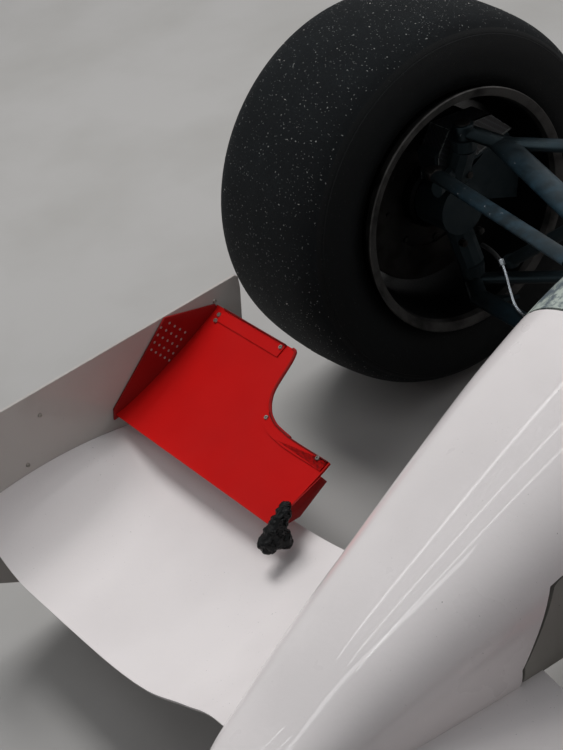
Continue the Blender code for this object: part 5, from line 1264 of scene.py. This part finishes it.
def makeRearWing():
    bm = bmesh.new()
    for front, height, chord, tilt, thick in blades:
        def place(share, turn):
            along = chordShare(turn)
            rise = tilt * chord * along ** 1.4
            body = thick * 2.6 * math.sqrt(along) * (1 - along) + 0.002 * min(1.0, along * 60)
            return Vector(((2 * share - 1) * 0.4747, front + chord * along + frontAxle,
                           height + rise - (body if turn > 0.5 else 0.0)))
        gridSkin(bm, 24, 48, place)
    asPiece(closeSkin(bm), "rear_wing_planes_skin", white, "rear_wing_planes")
    bm = bmesh.new()
    for x in (-0.104, 0.096):
        sidePlate(bm, ((2.970, 0.545), (3.120, 0.555), (3.220, 0.840), (3.145, 0.800), (2.980, 0.780)), x, x + 0.008)
    sidePlate(bm, ((2.900, 0.300), (3.080, 0.280), (3.100, 0.5430), (2.990, 0.5430)), -0.012, 0.012)
    bevelSharp(bm, 0.002, 3)
    asPiece(bm, "rear_wing_supports", carbon, "rear_wing_pillar")
    bm = bmesh.new()  # folded lip on the upper flap
    box(bm, (-0.474, 2.042, 0.89325), (0.474, 2.0442, 0.90525))
    asPiece(bm, "rear_wing_lip", carbon)
    top, bottom, tail, front = [rearWing[key] for key in ("top", "bottom", "tail", "front")]
    line = ((front - 0.030, top - 0.210), (front, top - 0.030), (front + 0.040, top), (tail, top),
            (tail, bottom + 0.100),
            (tail - 0.140, bottom), (front + 0.020, bottom))
    inner, outer = rearWing["half"], rearWing["half"] + rearWing["plate"]
    for word, side in sides:
        bm = bmesh.new()
        sidePlate(bm, line, inner * side, outer * side)
        bevelSharp(bm, 0.0012)
        plate = asPiece(bm, "rear_endplate_%s_skin" % word, white, "rear_endplate_" + word)
        for i in range(3):  # vents above the upper flap
            cut = bmesh.new()
            y, z = 3.15 + 0.05 * i + frontAxle, 0.885 - 0.008 * i
            rod(cut, (0.45 * side, y, z), (0.50 * side, y, z), 0.060, 0.006, (0, 1, -0.25), 24)
            carve(plate, cut)
        bm = bmesh.new()
        for y, z in ((2.96, 0.765), (3.05, 0.770), (3.14, 0.775), (3.19, 0.825), (3.29, 0.865), (2.99, 0.557),
                     (3.10, 0.560)):
            screw(bm, ((outer - 0.0012) * side, y + frontAxle, z), (side, 0, 0), 0.0050, 0.0010)
        asPiece(bm, "rear_endplate_%s_screws" % word, zincSteel)
    bm = bmesh.new()  # rain light
    box(bm, (-0.045, 3.118 + frontAxle, 0.236), (0.045, 3.150 + frontAxle, 0.300))
    bevelSharp(bm, 0.004, 3)
    asPiece(bm, "rain_light_case", cockpitBlack)
    bm = bmesh.new()
    for i in range(6):
        for j in range(4):
            x, z = -0.034 + 0.0136 * i, 0.2475 + 0.0136 * j
            rod(bm, (x, 3.148 + frontAxle, z), (x, 3.1525 + frontAxle, z), 0.011, segments=16, bevel=0.001)
    asPiece(bm, "rain_light_lenses", redLens)


makeRearWing()
print("rear wing made")

# cockpit fittings: seat, belts, headrest, wheel, dash, mirrors
seatSpec = {"front": 0.980, "long": 0.460, "seams": (-0.5, 0.0, 0.5), "crossSeams": (0.2, 0.4, 0.6, 0.8)}
seatRows = ((0.980, 0.105, 0.170), (1.150, 0.078, 0.190), (1.300, 0.150, 0.200), (1.390, 0.300, 0.190),
            (1.440, 0.470, 0.170))


def makeSeat():
    def place(share, turn):
        station = seatSpec["front"] + seatSpec["long"] * share
        low, half = smoothRow(seatRows, station)
        across = 4 * turn - 1 if turn <= 0.5 else 3 - 4 * turn
        swell = 0.0
        if turn > 0.5:  # the padded face, quilted by seams across and along
            swell = 0.020 + 0.008 * (1 - abs(across) ** 3)
            seam = min(abs(across - c) for c in seatSpec["seams"])
            cross = min(abs(share - c) for c in seatSpec["crossSeams"])
            swell -= 0.006 * math.exp(-(seam / 0.035) ** 2) + 0.005 * math.exp(-(cross / 0.016) ** 2)
        slope = max(0.0, min(1.0, (share - 0.45) / 0.25))
        up = Vector((0, -0.9 * slope, 1 - 0.55 * slope)).normalized()
        return Vector((across * half, station + frontAxle, low + 0.090 * abs(across) ** 3.2)) + up * swell
    seat = asPiece(skinned(90, 120, place), "seat_pad", suede, "seat", smoothAngle=60)

    def headPoint(share, turn):
        x, z = 0.112 * squared(math.cos(fullTurn * turn), 0.45), 0.064 * squared(math.sin(fullTurn * turn), 0.45)
        narrow = 1 - 0.10 * (abs(share - 0.5) * 2) ** 4
        crown = 0.010 * (1 - (x / 0.118) ** 2) * (1 if share < 0.5 else 0)
        return Vector((x * narrow, 0.3195 - 0.062 * (1 - share) - crown, 0.688 + z * narrow))
    head = asPiece(skinned(24, 72, headPoint), "headrest_pad", suede, "headrest", smoothAngle=60)


beltSpec = {
    "wide": 0.050, "thick": 0.0022, "corners": ((-1, 0), (1, 0), (1, 1), (-1, 1), (-1, 0)),
    "shoulder": ((0.060, 0.268, 0.640), (0.062, 0.215, 0.600), (0.066, 0.150, 0.520), (0.070, 0.110, 0.400),
                 (0.060, 0.040, 0.250), (0.040, -0.040, 0.160)),
    "lap": ((0.185, 0.020, 0.235), (0.150, -0.010, 0.190), (0.090, -0.040, 0.165), (0.035, -0.055, 0.158))}


def strap(name, points, side, flatUp):
    line = [Vector(p) for p in curvedLine([(x * side, y, z) for x, y, z in points], 8)]
    last = len(line) - 1

    def place(share, turn):
        index = min(int(round(share * last)), last)
        ahead = (line[min(index + 1, last)] - line[max(index - 1, 0)]).normalized()
        across = ahead.cross(Vector(flatUp)).normalized()
        out = across.cross(ahead).normalized()
        over, up = beltSpec["corners"][int(round(turn * 4))]
        return line[index] + across * over * beltSpec["wide"] / 2 + out * up * beltSpec["thick"]
    asPiece(skinned(last, 4, place), name, webbing, smoothAngle=50)


def makeBelts():
    for word, side in sides:
        strap("belt_shoulder_" + word, beltSpec["shoulder"], side, (0, -0.6, 0.8))
        strap("belt_lap_" + word, beltSpec["lap"], side, (0.3 * side, -0.3, 0.9))
        bm = bmesh.new()
        box(bm, (-0.028, -0.02, 0.0), (0.028, 0.02, 0.004))
        bevelSharp(bm, 0.0012)
        move(bm, Matrix.Translation((0.066 * side, 0.140, 0.505)) @ Matrix.Rotation(math.radians(62), 4, "X"))
        asPiece(bm, "belt_adjuster_" + word, zincSteel)
    bm = bmesh.new()
    rod(bm, (0, -0.062, 0.162), (0, -0.052, 0.186), 0.062, segments=40, bevel=0.004)
    rod(bm, (0, -0.052, 0.186), (0, -0.050, 0.190), 0.034, segments=32, bevel=0.001)
    asPiece(bm, "belt_buckle", zincSteel)


def makeWheelAndDash():
    rake = Matrix.Translation((0, -0.380, 0.500)) @ Matrix.Rotation(math.radians(12), 4, "X")
    bm = bmesh.new()
    ring = []
    for angle in around(48):
        squash = 0.72 if math.sin(angle) < 0 else 0.80
        ring.append(rake @ Vector((0.130 * math.cos(angle), 0, 0.130 * squash * math.sin(angle))))
    pipe(bm, ring + ring[:2], 0.0125, 14, 1)
    asPiece(bm, "steering_wheel_grip", suede, "steering_wheel", "steering", 60)
    bm = bmesh.new()
    line = ((-0.120, -0.020), (-0.060, -0.034), (0.060, -0.034), (0.120, -0.020), (0.120, 0.018), (0.060, 0.030),
            (-0.060, 0.030), (-0.120, 0.018))
    slab(bm, line, 1, -0.0045, 0.0075)
    bevelSharp(bm, 0.0015)
    rod(bm, (0, -0.006, 0), (0, 0.018, 0), 0.050, segments=36, bevel=0.0015)
    move(bm, rake)
    asPiece(bm, "steering_wheel_plate", carbon, body="steering")
    bm = bmesh.new()
    for x, z, size in ((0.085, 0.004, 0.014), (0.066, -0.014, 0.011), (0.045, 0.018, 0.009)):
        for side in (-1, 1):
            rod(bm, (x * side, 0.007, z), (x * side, 0.014, z), size, segments=24, bevel=0.001)
    move(bm, rake)
    asPiece(bm, "steering_wheel_buttons", redLens, body="steering")
    bm = bmesh.new()
    rod(bm, rake @ Vector((0, -0.0072, 0)), rake @ Vector((0, -0.2668, 0)), 0.027, segments=28)
    rod(bm, rake @ Vector((0, -0.010, 0)), rake @ Vector((0, -0.040, 0)), 0.044, segments=32, bevel=0.002)
    asPiece(bm, "steering_column_tube", castAluminium, "steering_column", "steering")
    bm = bmesh.new()
    slab(bm, ((-0.105, 0.505), (0.105, 0.505), (0.090, 0.560), (-0.090, 0.560)), 1, -0.500, -0.474)
    bevelSharp(bm, 0.003)
    asPiece(bm, "dash_panel", carbon)
    bm = bmesh.new()
    rod(bm, (0, -0.4745, 0.532), (0, -0.4705, 0.532), 0.044, segments=36, bevel=0.001)
    for x in (-0.072, -0.045, 0.045, 0.072):
        rod(bm, (x, -0.4745, 0.528), (x, -0.466, 0.528), 0.012, segments=20, bevel=0.001)
    asPiece(bm, "dash_switches", zincSteel)


mirrorSpec = {"height": 0.640, "out": 0.420, "front": -0.550, "deep": 0.040, "glass": (0.071, 0.028)}


def mirrorPoint(half, rise, y, turn, side):
    middle = mirrorSpec["height"]
    return onOval((half, middle - rise, middle, middle + rise), y, turn, 2.6, mirrorSpec["out"] * side)


def makeMirror(word, side):
    def shell(share, turn):
        bulge = math.sqrt(max(0.0, 1 - (1 - share) ** 2))
        y = mirrorSpec["front"] + mirrorSpec["deep"] * share
        return mirrorPoint(0.030 + 0.048 * bulge, 0.008 + 0.026 * bulge, y, turn, side)
    bm = skinned(16, 48, shell)
    rod(bm, (0.390 * side, -0.530, mirrorSpec["height"]), (0.165 * side, -0.520, 0.546), 0.024, 0.009)
    asPiece(bm, "mirror_%s_shell" % word, white, "mirror_" + word)
    glass = skinned(1, 48, lambda share, turn: mirrorPoint(*mirrorSpec["glass"], -0.5125 + 0.0028 * share, turn, side))
    asPiece(glass, "mirror_%s_glass" % word, mirrorGlass)


makeSeat()
makeBelts()
makeWheelAndDash()
for word, side in sides:
    makeMirror(word, side)
print("cockpit made")

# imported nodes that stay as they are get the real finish
finishes = {"dash_bulkhead": carbon}
for name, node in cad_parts.items():
    if not node.hide_render:
        node.data.materials.clear()
        node.data.materials.append(finishes.get(name, uprightBlack))
        print("kept as packed:", name)
